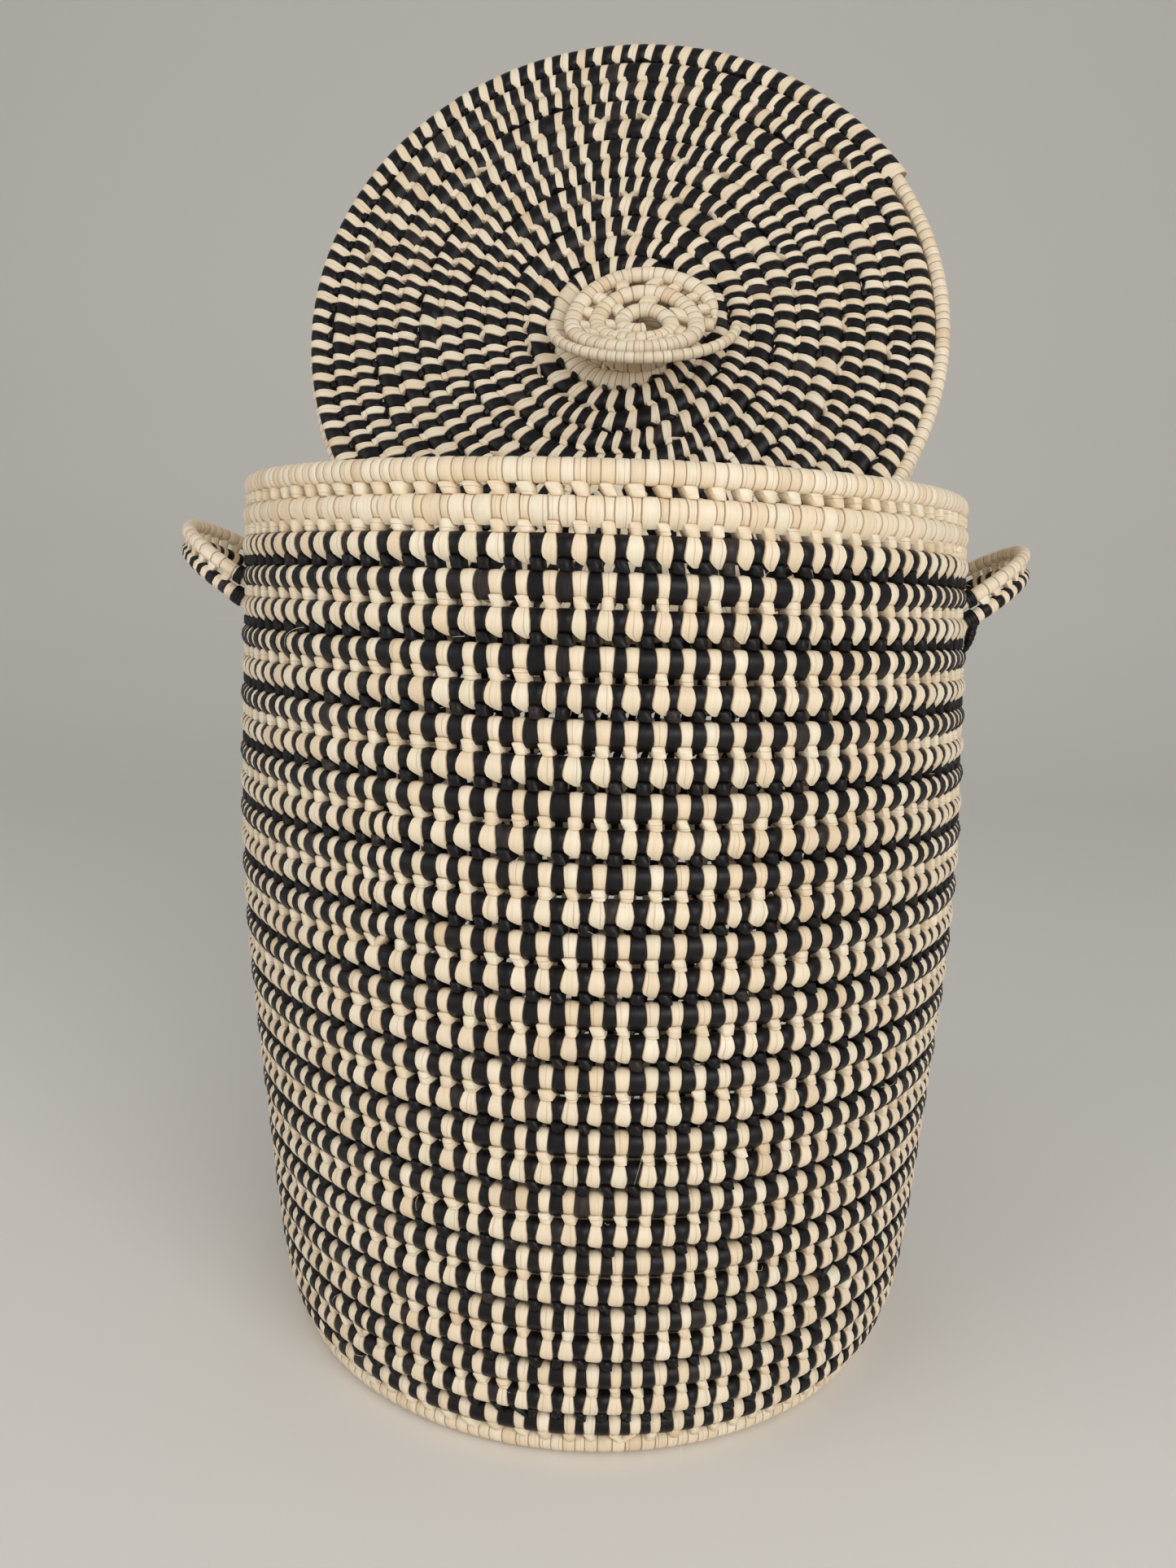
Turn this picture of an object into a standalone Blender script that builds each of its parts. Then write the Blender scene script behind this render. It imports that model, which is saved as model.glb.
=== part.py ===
"""Lidded laundry basket, coiled and sewn from palm leaf, with its lid stood in the mouth.

One foundation coil starts at the middle of the base, winds out flat, turns up at the foot and
climbs the wall to the rim. Every turn is sewn to the next by knots, with open windows between
them. Two small handles of two coils each leave the wall left and right. The lid is a flat coil
with a natural middle, striped rounds and a natural skirt, and carries a coiled knob whose lower
lip is bent up for the fingers. It lifts out along its own plane.

Metres, +Z up. The origin is on the axis of the basket, on the floor, and -Y is the front.
"""

import math

import bmesh
import bpy
from mathutils import Matrix, Vector
from mathutils.bvhtree import BVHTree

# Basket: its height, the radius of its outside at the belly, and how much narrower it is
# elsewhere. Depths are below the middle of the rim coil, rises are above the bend of the foot.
BASKET_HEIGHT = 0.508
BELLY_RADIUS = 0.2163
BELLY_DEPTH = 0.220
MOUTH_NARROWING = 0.0063
SHOULDER_NARROWING = 0.0036
SHOULDER_DEPTH = 0.060
LOWER_NARROWING = 0.0118
LOWER_RISE = 0.1053
ANKLE_NARROWING = 0.0203
ANKLE_RISE = 0.0270
HEEL_NARROWING = 0.0293
FOOT_BEND_RADIUS = 0.006
MOUTH_RADIUS = BELLY_RADIUS - MOUTH_NARROWING
SHOULDER_RADIUS = BELLY_RADIUS - SHOULDER_NARROWING
LOWER_RADIUS = BELLY_RADIUS - LOWER_NARROWING
ANKLE_RADIUS = BELLY_RADIUS - ANKLE_NARROWING
HEEL_RADIUS = BELLY_RADIUS - HEEL_NARROWING

# Foundation coil of the wall and the base
COURSE_PITCH = 0.0164
COIL_HEIGHT = 0.0124
COIL_DEPTH = 0.0110
SEWING_GAP = 0.00045
SEAM_GAP = 0.0004
STANDING_FLAT = 0.0060
RIM_TURNS = 2
RIM_END_HEIGHT = 0.0060
RIM_END_DEPTH = 0.0050
RIM_TAPER_STATIONS = 3
FOOT_TURNS = 1
WALL_BANDS = 6
SIDES_PER_TURN = 30
START_ANGLE = math.radians(160)
BASE_HOLE_RADIUS = 0.0090
BASE_OUTER_SHARE = 0.36

# Handles: two coils each, sewn to the fourth and the fifth course
HANDLE_UPPER_DIAMETER = 0.0070
HANDLE_LOWER_DIAMETER = 0.0076
HANDLE_HALF_SPAN = 0.065
HANDLE_REACH = 0.045
HANDLE_RISE_LEFT = 0.0285
HANDLE_RISE_RIGHT = 0.029
HANDLE_STATIONS = 21
HANDLE_UPPER_COURSE = 4
HANDLE_LOWER_COURSE = 5
HANDLE_LOWER_LIFT = 0.0046
HANDLE_BARE_STATIONS = 3
HANDLE_KNOT_GAP = 0.00045
BINDING_LENGTH = 0.0048
BINDING_THICKNESS = 0.0012
BINDING_GAP = 0.00035

# Lid: a flat coil, and a skirt that drops over the rim when the lid is closed
LID_CLEARANCE = 0.0007
ROUND_PITCH = 0.0150
ROUND_THICKNESS = 0.0110
LID_CENTRE_RADIUS = 0.0480
LID_HOLE_RADIUS = 0.0080
LID_BANDS = 3
LID_END_ANGLE = math.radians(31)
SKIRT_THICKNESS = 0.0065
SKIRT_PITCH = 0.0130
SKIRT_TURNS = 2.3
LID_RADIUS = MOUTH_RADIUS + LID_CLEARANCE + SKIRT_THICKNESS

# Where the lid stands at rest
LID_LEAN = math.radians(19.4)
LID_TURN = math.radians(-4.3)
LID_ASIDE = 0.0062
LID_BEFORE_BACK_RIM = 0.1450
LID_START_LIFT = 0.300
SEAT_GAP = 0.0003
SEARCH_STEPS = 30

# Knob
KNOB_ASIDE = 0.0100
NECK_FOOT_RADIUS = 0.0400
NECK_TOP_RADIUS = 0.0310
NECK_WRAPS = 18
NECK_WRAP_DEPTH = 0.0012
NECK_WALL = 0.0090
NECK_CAP_GAP = 0.0005
CAP_HEIGHT = 0.0190
CAP_BELOW = 0.0075
CAP_HALF_LENGTH = 0.0570
CAP_HALF_WIDTH = 0.0405
CAP_PITCH = 0.0134
CAP_THICKNESS = 0.0096
CAP_HOLE_RADIUS = 0.0075
CAP_SIDES = 20
CAP_BEND = math.radians(34)
CAP_BEND_SOFTNESS = 0.0120
CREST_DIAMETER = 0.0068
CREST_STATIONS = 17

TURN = 2 * math.pi
TUBE_SIDES = 6
MERIDIAN_SAMPLES = 480

NATURAL = ("natural_leaf", (0.80, 0.68, 0.47, 1.0), 0.55)
BLACK = ("black_leaf", (0.020, 0.020, 0.026, 1.0), 0.42)


def clear_scene():
    for obj in list(bpy.data.objects):
        bpy.data.objects.remove(obj, do_unlink=True)


def leaf_material(name, leaf):
    """A Principled material of its own for one piece."""
    kind, colour, roughness = leaf
    material = bpy.data.materials.new(name + "_" + kind)
    material.use_nodes = True
    shader = material.node_tree.nodes["Principled BSDF"]
    shader.inputs["Base Color"].default_value = colour
    shader.inputs["Roughness"].default_value = roughness
    shader.inputs["Metallic"].default_value = 0.0
    material.diffuse_color = colour
    return material


def finish(name, bm, leaves, parent=None):
    """Makes the bmesh one named object with a material for each leaf colour."""
    bmesh.ops.recalc_face_normals(bm, faces=bm.faces[:])
    mesh = bpy.data.meshes.new(name)
    bm.to_mesh(mesh)
    bm.free()
    for leaf in leaves:
        mesh.materials.append(leaf_material(name, leaf))
    obj = bpy.data.objects.new(name, mesh)
    bpy.context.collection.objects.link(obj)
    obj.parent = parent
    return obj


def sweep(name, rings, leaves, striped=False, parent=None):
    """One closed tube through rings of points, its colour changing from ring to ring if striped."""
    bm = bmesh.new()
    cap = bm.faces.new([bm.verts.new(point) for point in rings[0]])
    before = rings[0]
    for number, ring in enumerate(rings[1:]):
        grown = bmesh.ops.extrude_face_region(bm, geom=[cap])["geom"]
        if number:
            bmesh.ops.delete(bm, geom=[cap], context="FACES_ONLY")
        cap = next(item for item in grown if isinstance(item, bmesh.types.BMFace))
        corners = [item for item in grown if isinstance(item, bmesh.types.BMVert)]
        for vert in corners:
            nearest = min(range(len(before)), key=lambda i: (before[i] - vert.co).length)
            vert.co = ring[nearest]
            for face in vert.link_faces:
                face.material_index = number % 2 if striped else 0
        before = ring
    return finish(name, bm, leaves, parent)


def hermite(x, knots):
    """A smooth curve through (place, value) knots, with the slope of its neighbours at each."""
    last = len(knots) - 1
    spot = next((i for i in range(last) if x <= knots[i + 1][0]), last - 1)

    def slope(i):
        low = knots[max(i - 1, 0)]
        high = knots[min(i + 1, last)]
        return (high[1] - low[1]) / (high[0] - low[0])

    start, end = knots[spot], knots[spot + 1]
    width = end[0] - start[0]
    t = (x - start[0]) / width
    rise = t * t * (3 - 2 * t)
    leave = t * (1 - t) ** 2
    arrive = t * t * (1 - t)
    bent = width * (leave * slope(spot) - arrive * slope(spot + 1))
    return start[1] + rise * (end[1] - start[1]) + bent


class Meridian:
    """The line that the middle of the coil keeps to, from the rim to the middle of the base."""

    def __init__(self):
        self.top = BASKET_HEIGHT - COIL_HEIGHT / 2
        self.floor = COIL_DEPTH / 2
        bend_start = self.top - self.floor - FOOT_BEND_RADIUS
        knots = (
            (0.0, MOUTH_RADIUS),
            (SHOULDER_DEPTH, SHOULDER_RADIUS),
            (BELLY_DEPTH, BELLY_RADIUS),
            (bend_start - LOWER_RISE, LOWER_RADIUS),
            (bend_start - ANKLE_RISE, ANKLE_RADIUS),
            (bend_start, HEEL_RADIUS),
        )
        self.points = []
        for i in range(MERIDIAN_SAMPLES + 1):
            depth = bend_start * i / MERIDIAN_SAMPLES
            radius = hermite(depth, knots) - COIL_DEPTH / 2
            self.points.append(Vector((radius, self.top - depth)))
        heel = self.points[-1]
        lean = math.atan2(self.points[-2].x - heel.x, self.points[-2].y - heel.y)
        bend = FOOT_BEND_RADIUS / (1 - math.sin(lean))
        for i in range(1, MERIDIAN_SAMPLES + 1):
            angle = lean + (math.pi / 2 - lean) * i / MERIDIAN_SAMPLES
            inward = bend * (math.cos(lean) - math.cos(angle))
            down = bend * (math.sin(angle) - math.sin(lean))
            self.points.append(heel - Vector((inward, down)))
        self.bend_end = len(self.points) - 1
        self.points.append(Vector((0.0, self.points[-1].y)))
        self.lengths = [0.0]
        for first, second in zip(self.points, self.points[1:]):
            self.lengths.append(self.lengths[-1] + (second - first).length)

    def flat_from(self):
        """How far along the line it has become level."""
        return self.lengths[self.bend_end]

    def at(self, length):
        """The point at this length, and the direction of the line there."""
        low, high = 0, len(self.lengths) - 1
        while high - low > 1:
            middle = (low + high) // 2
            if self.lengths[middle] <= length:
                low = middle
            else:
                high = middle
        start, end = self.points[low], self.points[high]
        share = (length - self.lengths[low]) / (self.lengths[high] - self.lengths[low])
        return start.lerp(end, share), (end - start).normalized()


MERIDIAN = Meridian()


def basket_frame(station, sides=SIDES_PER_TURN):
    """Middle of the coil at a station, the way on to the next turn, and the way out of the wall."""
    angle = START_ANGLE + TURN * station / sides
    place, along = MERIDIAN.at(COURSE_PITCH * station / sides)
    outward = Vector((math.cos(angle), math.sin(angle), 0.0))
    middle = place.x * outward + Vector((0.0, 0.0, place.y))
    onward = along.x * outward + Vector((0.0, 0.0, along.y))
    skin = -along.y * outward + Vector((0.0, 0.0, along.x))
    return middle, onward, skin


def seam_stations(first, last, radius, sides, gap):
    """Stations from first to last, the two ends drawn in by half the seam's gap."""
    share = gap / 2 / (TURN * radius / sides)
    return [first + share] + list(range(first + 1, last)) + [last - share]


def knotted_ring(station):
    """Four-sided section of the coil, with a knot to the next turn at every second station.

    Over the first stations it grows from the thin end that lies on the turn below.
    """
    middle, onward, skin = basket_frame(station)
    half = COIL_HEIGHT / 2
    whole = round(station)
    knot = COURSE_PITCH - half - SEWING_GAP
    reach = knot if (whole + whole // SIDES_PER_TURN) % 2 == 0 else half
    grown = min(1.0, station / RIM_TAPER_STATIONS)
    if grown < 1:
        reach = knot
    top = (1 - grown) * (RIM_END_HEIGHT - knot) + grown * half
    depth = ((1 - grown) * RIM_END_DEPTH + grown * COIL_DEPTH) / 2
    waist = middle + (half - top) / 2 * onward
    ring = [
        middle - top * onward,
        waist + depth * skin,
        middle + reach * onward,
        waist - depth * skin,
    ]
    for point in ring:
        point.z = max(point.z, 0.0)
    return ring


def wall_band(name, first, last, leaves, striped):
    """Turns of the wall from one station to another."""
    stations = seam_stations(first, last, MOUTH_RADIUS, SIDES_PER_TURN, SEAM_GAP)
    return sweep(name, [knotted_ring(station) for station in stations], leaves, striped)


def base_ring(station, sides):
    """Five-sided section of the flat coil, with the flat that the basket stands on."""
    middle, onward, skin = basket_frame(station, sides)
    half = COIL_HEIGHT / 2
    sewn = COURSE_PITCH - half - SEWING_GAP
    flat = STANDING_FLAT / 2
    down = Vector((0.0, 0.0, -middle.z))
    return [
        middle - half * onward,
        middle - flat * onward + down,
        middle + flat * onward + down,
        middle + sewn * onward,
        middle - COIL_DEPTH / 2 * skin,
    ]


def base_coil(name, first_turn, last_turn, sides):
    """Rounds of the flat coil, from the foot towards the middle."""
    radius = MERIDIAN.at(COURSE_PITCH * last_turn)[0].x
    stations = seam_stations(
        round(first_turn * sides), round(last_turn * sides), radius, sides, SEAM_GAP
    )
    return sweep(name, [base_ring(station, sides) for station in stations], (NATURAL,))


def build_basket():
    """The continuous coil, cut into lengths that follow on from each other."""
    flat_turns = math.ceil(MERIDIAN.flat_from() / COURSE_PITCH)
    foot_from = flat_turns - FOOT_TURNS
    rim = wall_band("rim_coil", 0, RIM_TURNS * SIDES_PER_TURN, (NATURAL,), False)
    pieces = [rim]
    cuts = [
        RIM_TURNS + round((foot_from - RIM_TURNS) * i / WALL_BANDS) for i in range(WALL_BANDS + 1)
    ]
    for number, (first, last) in enumerate(zip(cuts, cuts[1:]), 1):
        first_station = first * SIDES_PER_TURN
        last_station = last * SIDES_PER_TURN
        name = "wall_coil_%d" % number
        pieces.append(wall_band(name, first_station, last_station, (NATURAL, BLACK), True))
    foot_stations = foot_from * SIDES_PER_TURN, flat_turns * SIDES_PER_TURN
    pieces.append(wall_band("foot_coil", *foot_stations, (NATURAL,), False))
    last_turn = (MERIDIAN.lengths[-1] - BASE_HOLE_RADIUS) / COURSE_PITCH
    inner_turn = flat_turns + round(BASE_OUTER_SHARE * (last_turn - flat_turns))
    base_coil("base_outer_coil", flat_turns, inner_turn, SIDES_PER_TURN)
    base_coil("base_centre_coil", inner_turn, last_turn, SIDES_PER_TURN // 2)
    return pieces


def solids(objects):
    """World points and faces of several objects as one list."""
    points, faces = [], []
    for obj in objects:
        start = len(points)
        points += [obj.matrix_world @ vert.co for vert in obj.data.vertices]
        faces += [[start + i for i in face.vertices] for face in obj.data.polygons]
    return points, faces


def has_room(points, faces, tree, fixed_points, gap):
    """Whether the moved solid crosses nothing and keeps the gap on every side."""
    moved = BVHTree.FromPolygons(points, faces)
    if moved.overlap(tree):
        return False
    for target, places in ((tree, points), (moved, fixed_points)):
        for place in places:
            if target.find_nearest(place, gap)[0] is not None:
                return False
    return True


def seat(moving, way, start, against):
    """The least distance along the way, from the start down, at which the pieces keep the gap."""
    points, faces = solids(moving)
    fixed_points, fixed_faces = solids(against)
    tree = BVHTree.FromPolygons(fixed_points, fixed_faces)
    clear, blocked = start, -start
    for _ in range(SEARCH_STEPS):
        middle = (clear + blocked) / 2
        moved = [point + middle * way for point in points]
        if has_room(moved, faces, tree, fixed_points, SEAT_GAP):
            clear = middle
        else:
            blocked = middle
    return clear


def handle_frames(side, course, lift, rise):
    """Middle line of a handle coil, a bent loop whose two ends meet one course of the wall."""
    foot = math.asin(HANDLE_HALF_SPAN / SHOULDER_RADIUS)
    middle_angle = 0.0 if side > 0 else math.pi
    roots = []
    for offset in (-side * foot, side * foot):
        turn = (middle_angle + offset - START_ANGLE) % TURN / TURN
        station = SIDES_PER_TURN * (course - 1 + turn)
        middle, _, skin = basket_frame(station)
        roots.append(middle + COIL_DEPTH / 2 * skin + Vector((0.0, 0.0, lift)))
    frames = []
    for i in range(HANDLE_STATIONS):
        angle = math.pi * i / (HANDLE_STATIONS - 1)
        base = roots[0].lerp(roots[1], (1 - math.cos(angle)) / 2)
        swing = math.sin(angle)
        middle = base + swing * Vector((side * HANDLE_REACH, 0.0, rise))
        frames.append(middle)
    return frames


def line_axes(line, i, up):
    """Way along a line at one of its points, the way across it, and the way up."""
    before, after = line[max(i - 1, 0)], line[min(i + 1, len(line) - 1)]
    along = (after - before).normalized()
    across = along.cross(up).normalized()
    return along, across, across.cross(along)


def tube_ring(middle, across, rise, radius, turned=0.0):
    ring = []
    for corner in range(TUBE_SIDES):
        angle = TURN * corner / TUBE_SIDES + turned
        ring.append(middle + radius * (math.cos(angle) * across + math.sin(angle) * rise))
    return ring


def handle_coil(name, line, other, diameter, leaves, knots):
    """One coil of a handle. The lower one has knots up to the upper one, between bare ends."""
    rings = []
    up = Vector((0.0, 0.0, 1.0))
    last = len(line) - 1
    for i, middle in enumerate(line):
        _, across, rise = line_axes(line, i, up)
        ring = tube_ring(middle, across, rise, diameter / 2)
        bare = min(i, last - i) < HANDLE_BARE_STATIONS
        if knots and not bare and i % 2 == 0:
            apart = other[i] - middle
            reach = apart.length - HANDLE_UPPER_DIAMETER / 2 - HANDLE_KNOT_GAP
            knot = middle + reach * apart.normalized()
            half = diameter / 4
            ring[1] = knot + half * across
            ring[2] = knot - half * across
        rings.append(ring)
    return sweep(name, rings, leaves, len(leaves) > 1)


def binding(name, line, from_end, diameter):
    """Black strip wound round the root of a handle coil: a short six-sided sleeve."""
    up = Vector((0.0, 0.0, 1.0))
    i = 1 if from_end == 0 else len(line) - 2
    along, across, rise = line_axes(line, i, up)
    bm = bmesh.new()
    radius = diameter / 2 + BINDING_GAP
    edges = []
    for place in (-BINDING_LENGTH / 2, BINDING_LENGTH / 2):
        ring = tube_ring(line[i] + place * along, across, rise, radius)
        verts = [bm.verts.new(point) for point in ring]
        edges += [bm.edges.new((verts[k - 1], verts[k])) for k in range(TUBE_SIDES)]
    walls = bmesh.ops.bridge_loops(bm, edges=edges)["faces"]
    bmesh.ops.recalc_face_normals(bm, faces=walls)
    bmesh.ops.solidify(bm, geom=walls, thickness=-BINDING_THICKNESS)
    return finish(name, bm, (BLACK,))


def build_handle(name, side, rise, wall):
    """Both coils of one handle, seated on the wall, with the strips that bind their roots."""
    upper_line = handle_frames(side, HANDLE_UPPER_COURSE, 0.0, rise)
    lower_line = handle_frames(side, HANDLE_LOWER_COURSE, HANDLE_LOWER_LIFT, rise)
    upper = handle_coil(
        name + "_upper_coil", upper_line, None, HANDLE_UPPER_DIAMETER, (NATURAL,), False
    )
    lower = handle_coil(
        name + "_lower_coil", lower_line, upper_line, HANDLE_LOWER_DIAMETER, (NATURAL, BLACK), True
    )
    pieces = [upper, lower]
    coils = (
        ("upper", upper_line, HANDLE_UPPER_DIAMETER),
        ("lower", lower_line, HANDLE_LOWER_DIAMETER),
    )
    for level, line, diameter in coils:
        for end, place in enumerate(("front", "back")):
            pieces.append(binding("%s_%s_binding_%s" % (name, level, place), line, end, diameter))
    way = Vector((float(side), 0.0, 0.0))
    out = seat(pieces, way, HANDLE_REACH, wall)
    for piece in pieces:
        piece.location = out * way
    return pieces


def lid_frame(turns):
    """Middle of the lid's coil after some turns from its hole, and the way out."""
    angle = LID_END_ANGLE + TURN * (disc_turns() - turns)
    outward = Vector((math.cos(angle), math.sin(angle), 0.0))
    radius = LID_HOLE_RADIUS + ROUND_PITCH * turns
    return radius * outward, outward


def disc_turns():
    """Turns of the flat coil from the hole to where the skirt begins."""
    end_radius = LID_RADIUS - SKIRT_THICKNESS / 2
    return (end_radius - LID_HOLE_RADIUS) / ROUND_PITCH


def flat_round(name, first, last, sides, leaves, parent):
    """Rounds of the lid from one number of turns to another, counted back from the skirt."""
    total = disc_turns()
    radius = LID_HOLE_RADIUS + ROUND_PITCH * (total - first)
    stations = seam_stations(round(first * sides), round(last * sides), radius, sides, SEAM_GAP)
    half = (ROUND_PITCH - SEWING_GAP) / 2
    rings = []
    for station in stations:
        middle, outward = lid_frame(total - station / sides)
        up = Vector((0.0, 0.0, ROUND_THICKNESS / 2))
        rings.append([middle + half * outward, middle + up, middle - half * outward, middle - up])
    return sweep(name, rings, leaves, len(leaves) > 1, parent)


def skirt(name, parent):
    """Natural turns that follow on from the striped rounds and wind down to the inner side."""
    end_radius = LID_RADIUS - SKIRT_THICKNESS / 2
    steps = round(SKIRT_TURNS * SIDES_PER_TURN)
    stations = seam_stations(0, steps, end_radius, SIDES_PER_TURN, SEAM_GAP)
    half = (SKIRT_PITCH - SEWING_GAP) / 2
    rings = []
    for station in stations:
        turns = station / SIDES_PER_TURN
        angle = LID_END_ANGLE - TURN * turns
        outward = Vector((math.cos(angle), math.sin(angle), 0.0))
        middle = end_radius * outward - Vector((0.0, 0.0, SKIRT_PITCH * turns))
        up = Vector((0.0, 0.0, half))
        side = SKIRT_THICKNESS / 2 * outward
        rings.append([middle + side, middle + up, middle - side, middle - up])
    return sweep(name, rings, (NATURAL,), False, parent)


def cap_lift(across):
    """How far the knob's cap is bent up at a distance from the bend, which is at zero."""
    spread = math.hypot(across, CAP_BEND_SOFTNESS)
    return math.tan(CAP_BEND) * (spread - across) / 2


def cap_point(angle, radius):
    """A point on the cap, whose long axis lies across the lid."""
    longer = CAP_HALF_LENGTH / CAP_HALF_WIDTH
    along = KNOB_ASIDE + longer * radius * math.cos(angle)
    across = radius * math.sin(angle)
    if across < 0:
        across *= math.cos(CAP_BEND)
    return Vector((along, across - CAP_BELOW, CAP_HEIGHT + cap_lift(across)))


def knob_cap(name, parent):
    """Oval coil, wound from its middle out and bent up along its lower half."""
    half = (CAP_PITCH - SEWING_GAP) / 2
    turns = (CAP_HALF_WIDTH - half - CAP_HOLE_RADIUS) / CAP_PITCH
    rings = []
    for i in range(round(turns * CAP_SIDES) + 1):
        angle = -TURN * i / CAP_SIDES
        radius = CAP_HOLE_RADIUS + CAP_PITCH * i / CAP_SIDES
        up = Vector((0.0, 0.0, CAP_THICKNESS / 2))
        middle = cap_point(angle, radius)
        rings.append(
            [cap_point(angle, radius + half), middle + up, cap_point(angle, radius - half), middle - up]
        )
    return sweep(name, rings, (NATURAL,), False, parent)


def knob_crest(name, parent):
    """Thin wrapped coil round the bent-up edge of the cap, from tip to tip."""
    radius = CAP_HALF_WIDTH + CREST_DIAMETER / 2
    line = []
    for i in range(CREST_STATIONS):
        angle = math.pi + math.pi * i / (CREST_STATIONS - 1)
        line.append(cap_point(angle, radius))
    up = Vector((0.0, 0.0, 1.0))
    rings = []
    for i, middle in enumerate(line):
        _, across, rise = line_axes(line, i, up)
        rings.append(tube_ring(middle, across, rise, CREST_DIAMETER / 2))
    return sweep(name, rings, (NATURAL,), False, parent)


def knob_neck(name, parent):
    """Short flared neck, wrapped with broad strips, whose top follows the underside of the cap."""
    bm = bmesh.new()
    foot = ROUND_THICKNESS / 2 + SEAT_GAP
    profile = (
        (NECK_FOOT_RADIUS, 0.0),
        (NECK_TOP_RADIUS, CAP_HEIGHT),
        (NECK_TOP_RADIUS - NECK_WALL, CAP_HEIGHT),
        (NECK_FOOT_RADIUS - NECK_WALL, 0.0),
    )
    corners = [bm.verts.new((radius, 0.0, height)) for radius, height in profile]
    edges = [bm.edges.new((corners[i - 1], corners[i])) for i in range(len(corners))]
    steps = 2 * NECK_WRAPS
    bmesh.ops.spin(bm, geom=corners + edges, angle=TURN, axis=(0, 0, 1), steps=steps, use_merge=True)
    for vert in bm.verts:
        step = round(math.atan2(vert.co.y, vert.co.x) / TURN * steps)
        radius = math.hypot(vert.co.x, vert.co.y)
        if step % 2:
            vert.co.xy *= 1 - NECK_WRAP_DEPTH / radius
        if vert.co.z > 0:
            under = CAP_HEIGHT - CAP_THICKNESS / 2 - NECK_CAP_GAP
            vert.co.z = under + cap_lift(vert.co.y + CAP_BELOW)
        else:
            vert.co.z = foot
        vert.co.x += KNOB_ASIDE
    return finish(name, bm, (NATURAL,), parent)


def build_lid(parent):
    """All pieces of the lid, in its own plane, with the outer face up."""
    total = disc_turns()
    centre_turns = (LID_CENTRE_RADIUS - LID_HOLE_RADIUS) / ROUND_PITCH
    striped = total - centre_turns
    cuts = [round(striped * i / LID_BANDS) for i in range(LID_BANDS + 1)]
    pieces = []
    for number, (first, last) in enumerate(zip(cuts, cuts[1:]), 1):
        name = "lid_striped_coil_%d" % number
        leaves = (NATURAL, BLACK)
        pieces.append(flat_round(name, first, last, SIDES_PER_TURN, leaves, parent))
    centre_sides = SIDES_PER_TURN // 2
    pieces.append(flat_round("lid_centre_coil", cuts[-1], total, centre_sides, (NATURAL,), parent))
    pieces.append(skirt("lid_skirt_coil", parent))
    pieces.append(knob_neck("knob_neck", parent))
    cap = knob_cap("knob_cap", parent)
    crest = knob_crest("knob_crest", parent)
    bpy.context.view_layer.update()
    lip = Vector((0.0, -1.0, math.tan(CAP_BEND))).normalized()
    crest.location = seat([crest], lip, CAP_PITCH, [cap]) * lip
    pieces += [cap, crest]
    return pieces


def stand_lid(pieces, axis, mouth):
    """Leans the lid back in the mouth and lowers it along its own plane until it sits."""
    turned = Matrix.Rotation(LID_TURN, 4, "Z")
    leaned = Matrix.Rotation(math.pi / 2 - LID_LEAN, 4, "X")
    start = Vector((LID_ASIDE, MOUTH_RADIUS - LID_BEFORE_BACK_RIM, MERIDIAN.top))
    axis.matrix_world = Matrix.Translation(start) @ turned @ leaned
    bpy.context.view_layer.update()
    way = axis.matrix_world.to_3x3() @ Vector((0.0, 1.0, 0.0))
    lift = seat(pieces, way, LID_START_LIFT, mouth)
    axis.location = start + lift * way
    bpy.context.view_layer.update()
    return way


def main():
    clear_scene()
    wall = build_basket()
    bpy.context.view_layer.update()
    build_handle("handle_left", -1, HANDLE_RISE_LEFT, wall)
    build_handle("handle_right", 1, HANDLE_RISE_RIGHT, wall)
    axis = bpy.data.objects.new("lid_axis", None)
    bpy.context.collection.objects.link(axis)
    pieces = build_lid(axis)
    way = stand_lid(pieces, axis, wall)
    print("lid centre", [round(value, 5) for value in axis.location])
    print("lid slides along", [round(value, 5) for value in way])


main()
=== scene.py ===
"""Looks of the lidded laundry basket: every strip, knot and fibre of the coiled palm leaf.

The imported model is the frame. Each length of coil gets a surface of single leaf strips, wrapped
round it, with the knots that sew it to the next turn. Metres, +Z up, -Y is the front.
"""

import math
from collections import namedtuple

import bmesh
import bpy
import numpy as np
from bpy.props import FloatProperty, FloatVectorProperty, IntProperty, PointerProperty
from mathutils import Matrix, Vector


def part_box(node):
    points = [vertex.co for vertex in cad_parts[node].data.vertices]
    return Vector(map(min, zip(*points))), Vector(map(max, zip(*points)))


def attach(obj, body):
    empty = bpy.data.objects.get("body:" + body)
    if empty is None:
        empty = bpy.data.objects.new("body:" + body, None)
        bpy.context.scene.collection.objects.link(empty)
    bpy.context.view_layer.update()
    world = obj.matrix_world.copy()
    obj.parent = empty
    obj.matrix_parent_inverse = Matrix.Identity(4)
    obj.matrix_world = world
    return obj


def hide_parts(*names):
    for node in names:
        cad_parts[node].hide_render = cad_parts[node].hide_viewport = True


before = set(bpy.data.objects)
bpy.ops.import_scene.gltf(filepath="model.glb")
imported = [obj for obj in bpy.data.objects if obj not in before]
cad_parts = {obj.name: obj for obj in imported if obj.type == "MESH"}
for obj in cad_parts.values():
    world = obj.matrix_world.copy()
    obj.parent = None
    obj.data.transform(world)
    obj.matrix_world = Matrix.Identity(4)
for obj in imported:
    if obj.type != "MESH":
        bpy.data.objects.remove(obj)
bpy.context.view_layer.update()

bl_info = {
    "name": "Coiled laundry basket",
    "version": (1, 0, 0),
    "blender": (4, 5, 0),
    "location": "View3D > Sidebar > Basket",
    "description": "Sews the strips, knots and fibres of a coiled palm-leaf basket round its solids",
    "category": "Mesh",
}

TURN = 2 * math.pi

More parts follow.
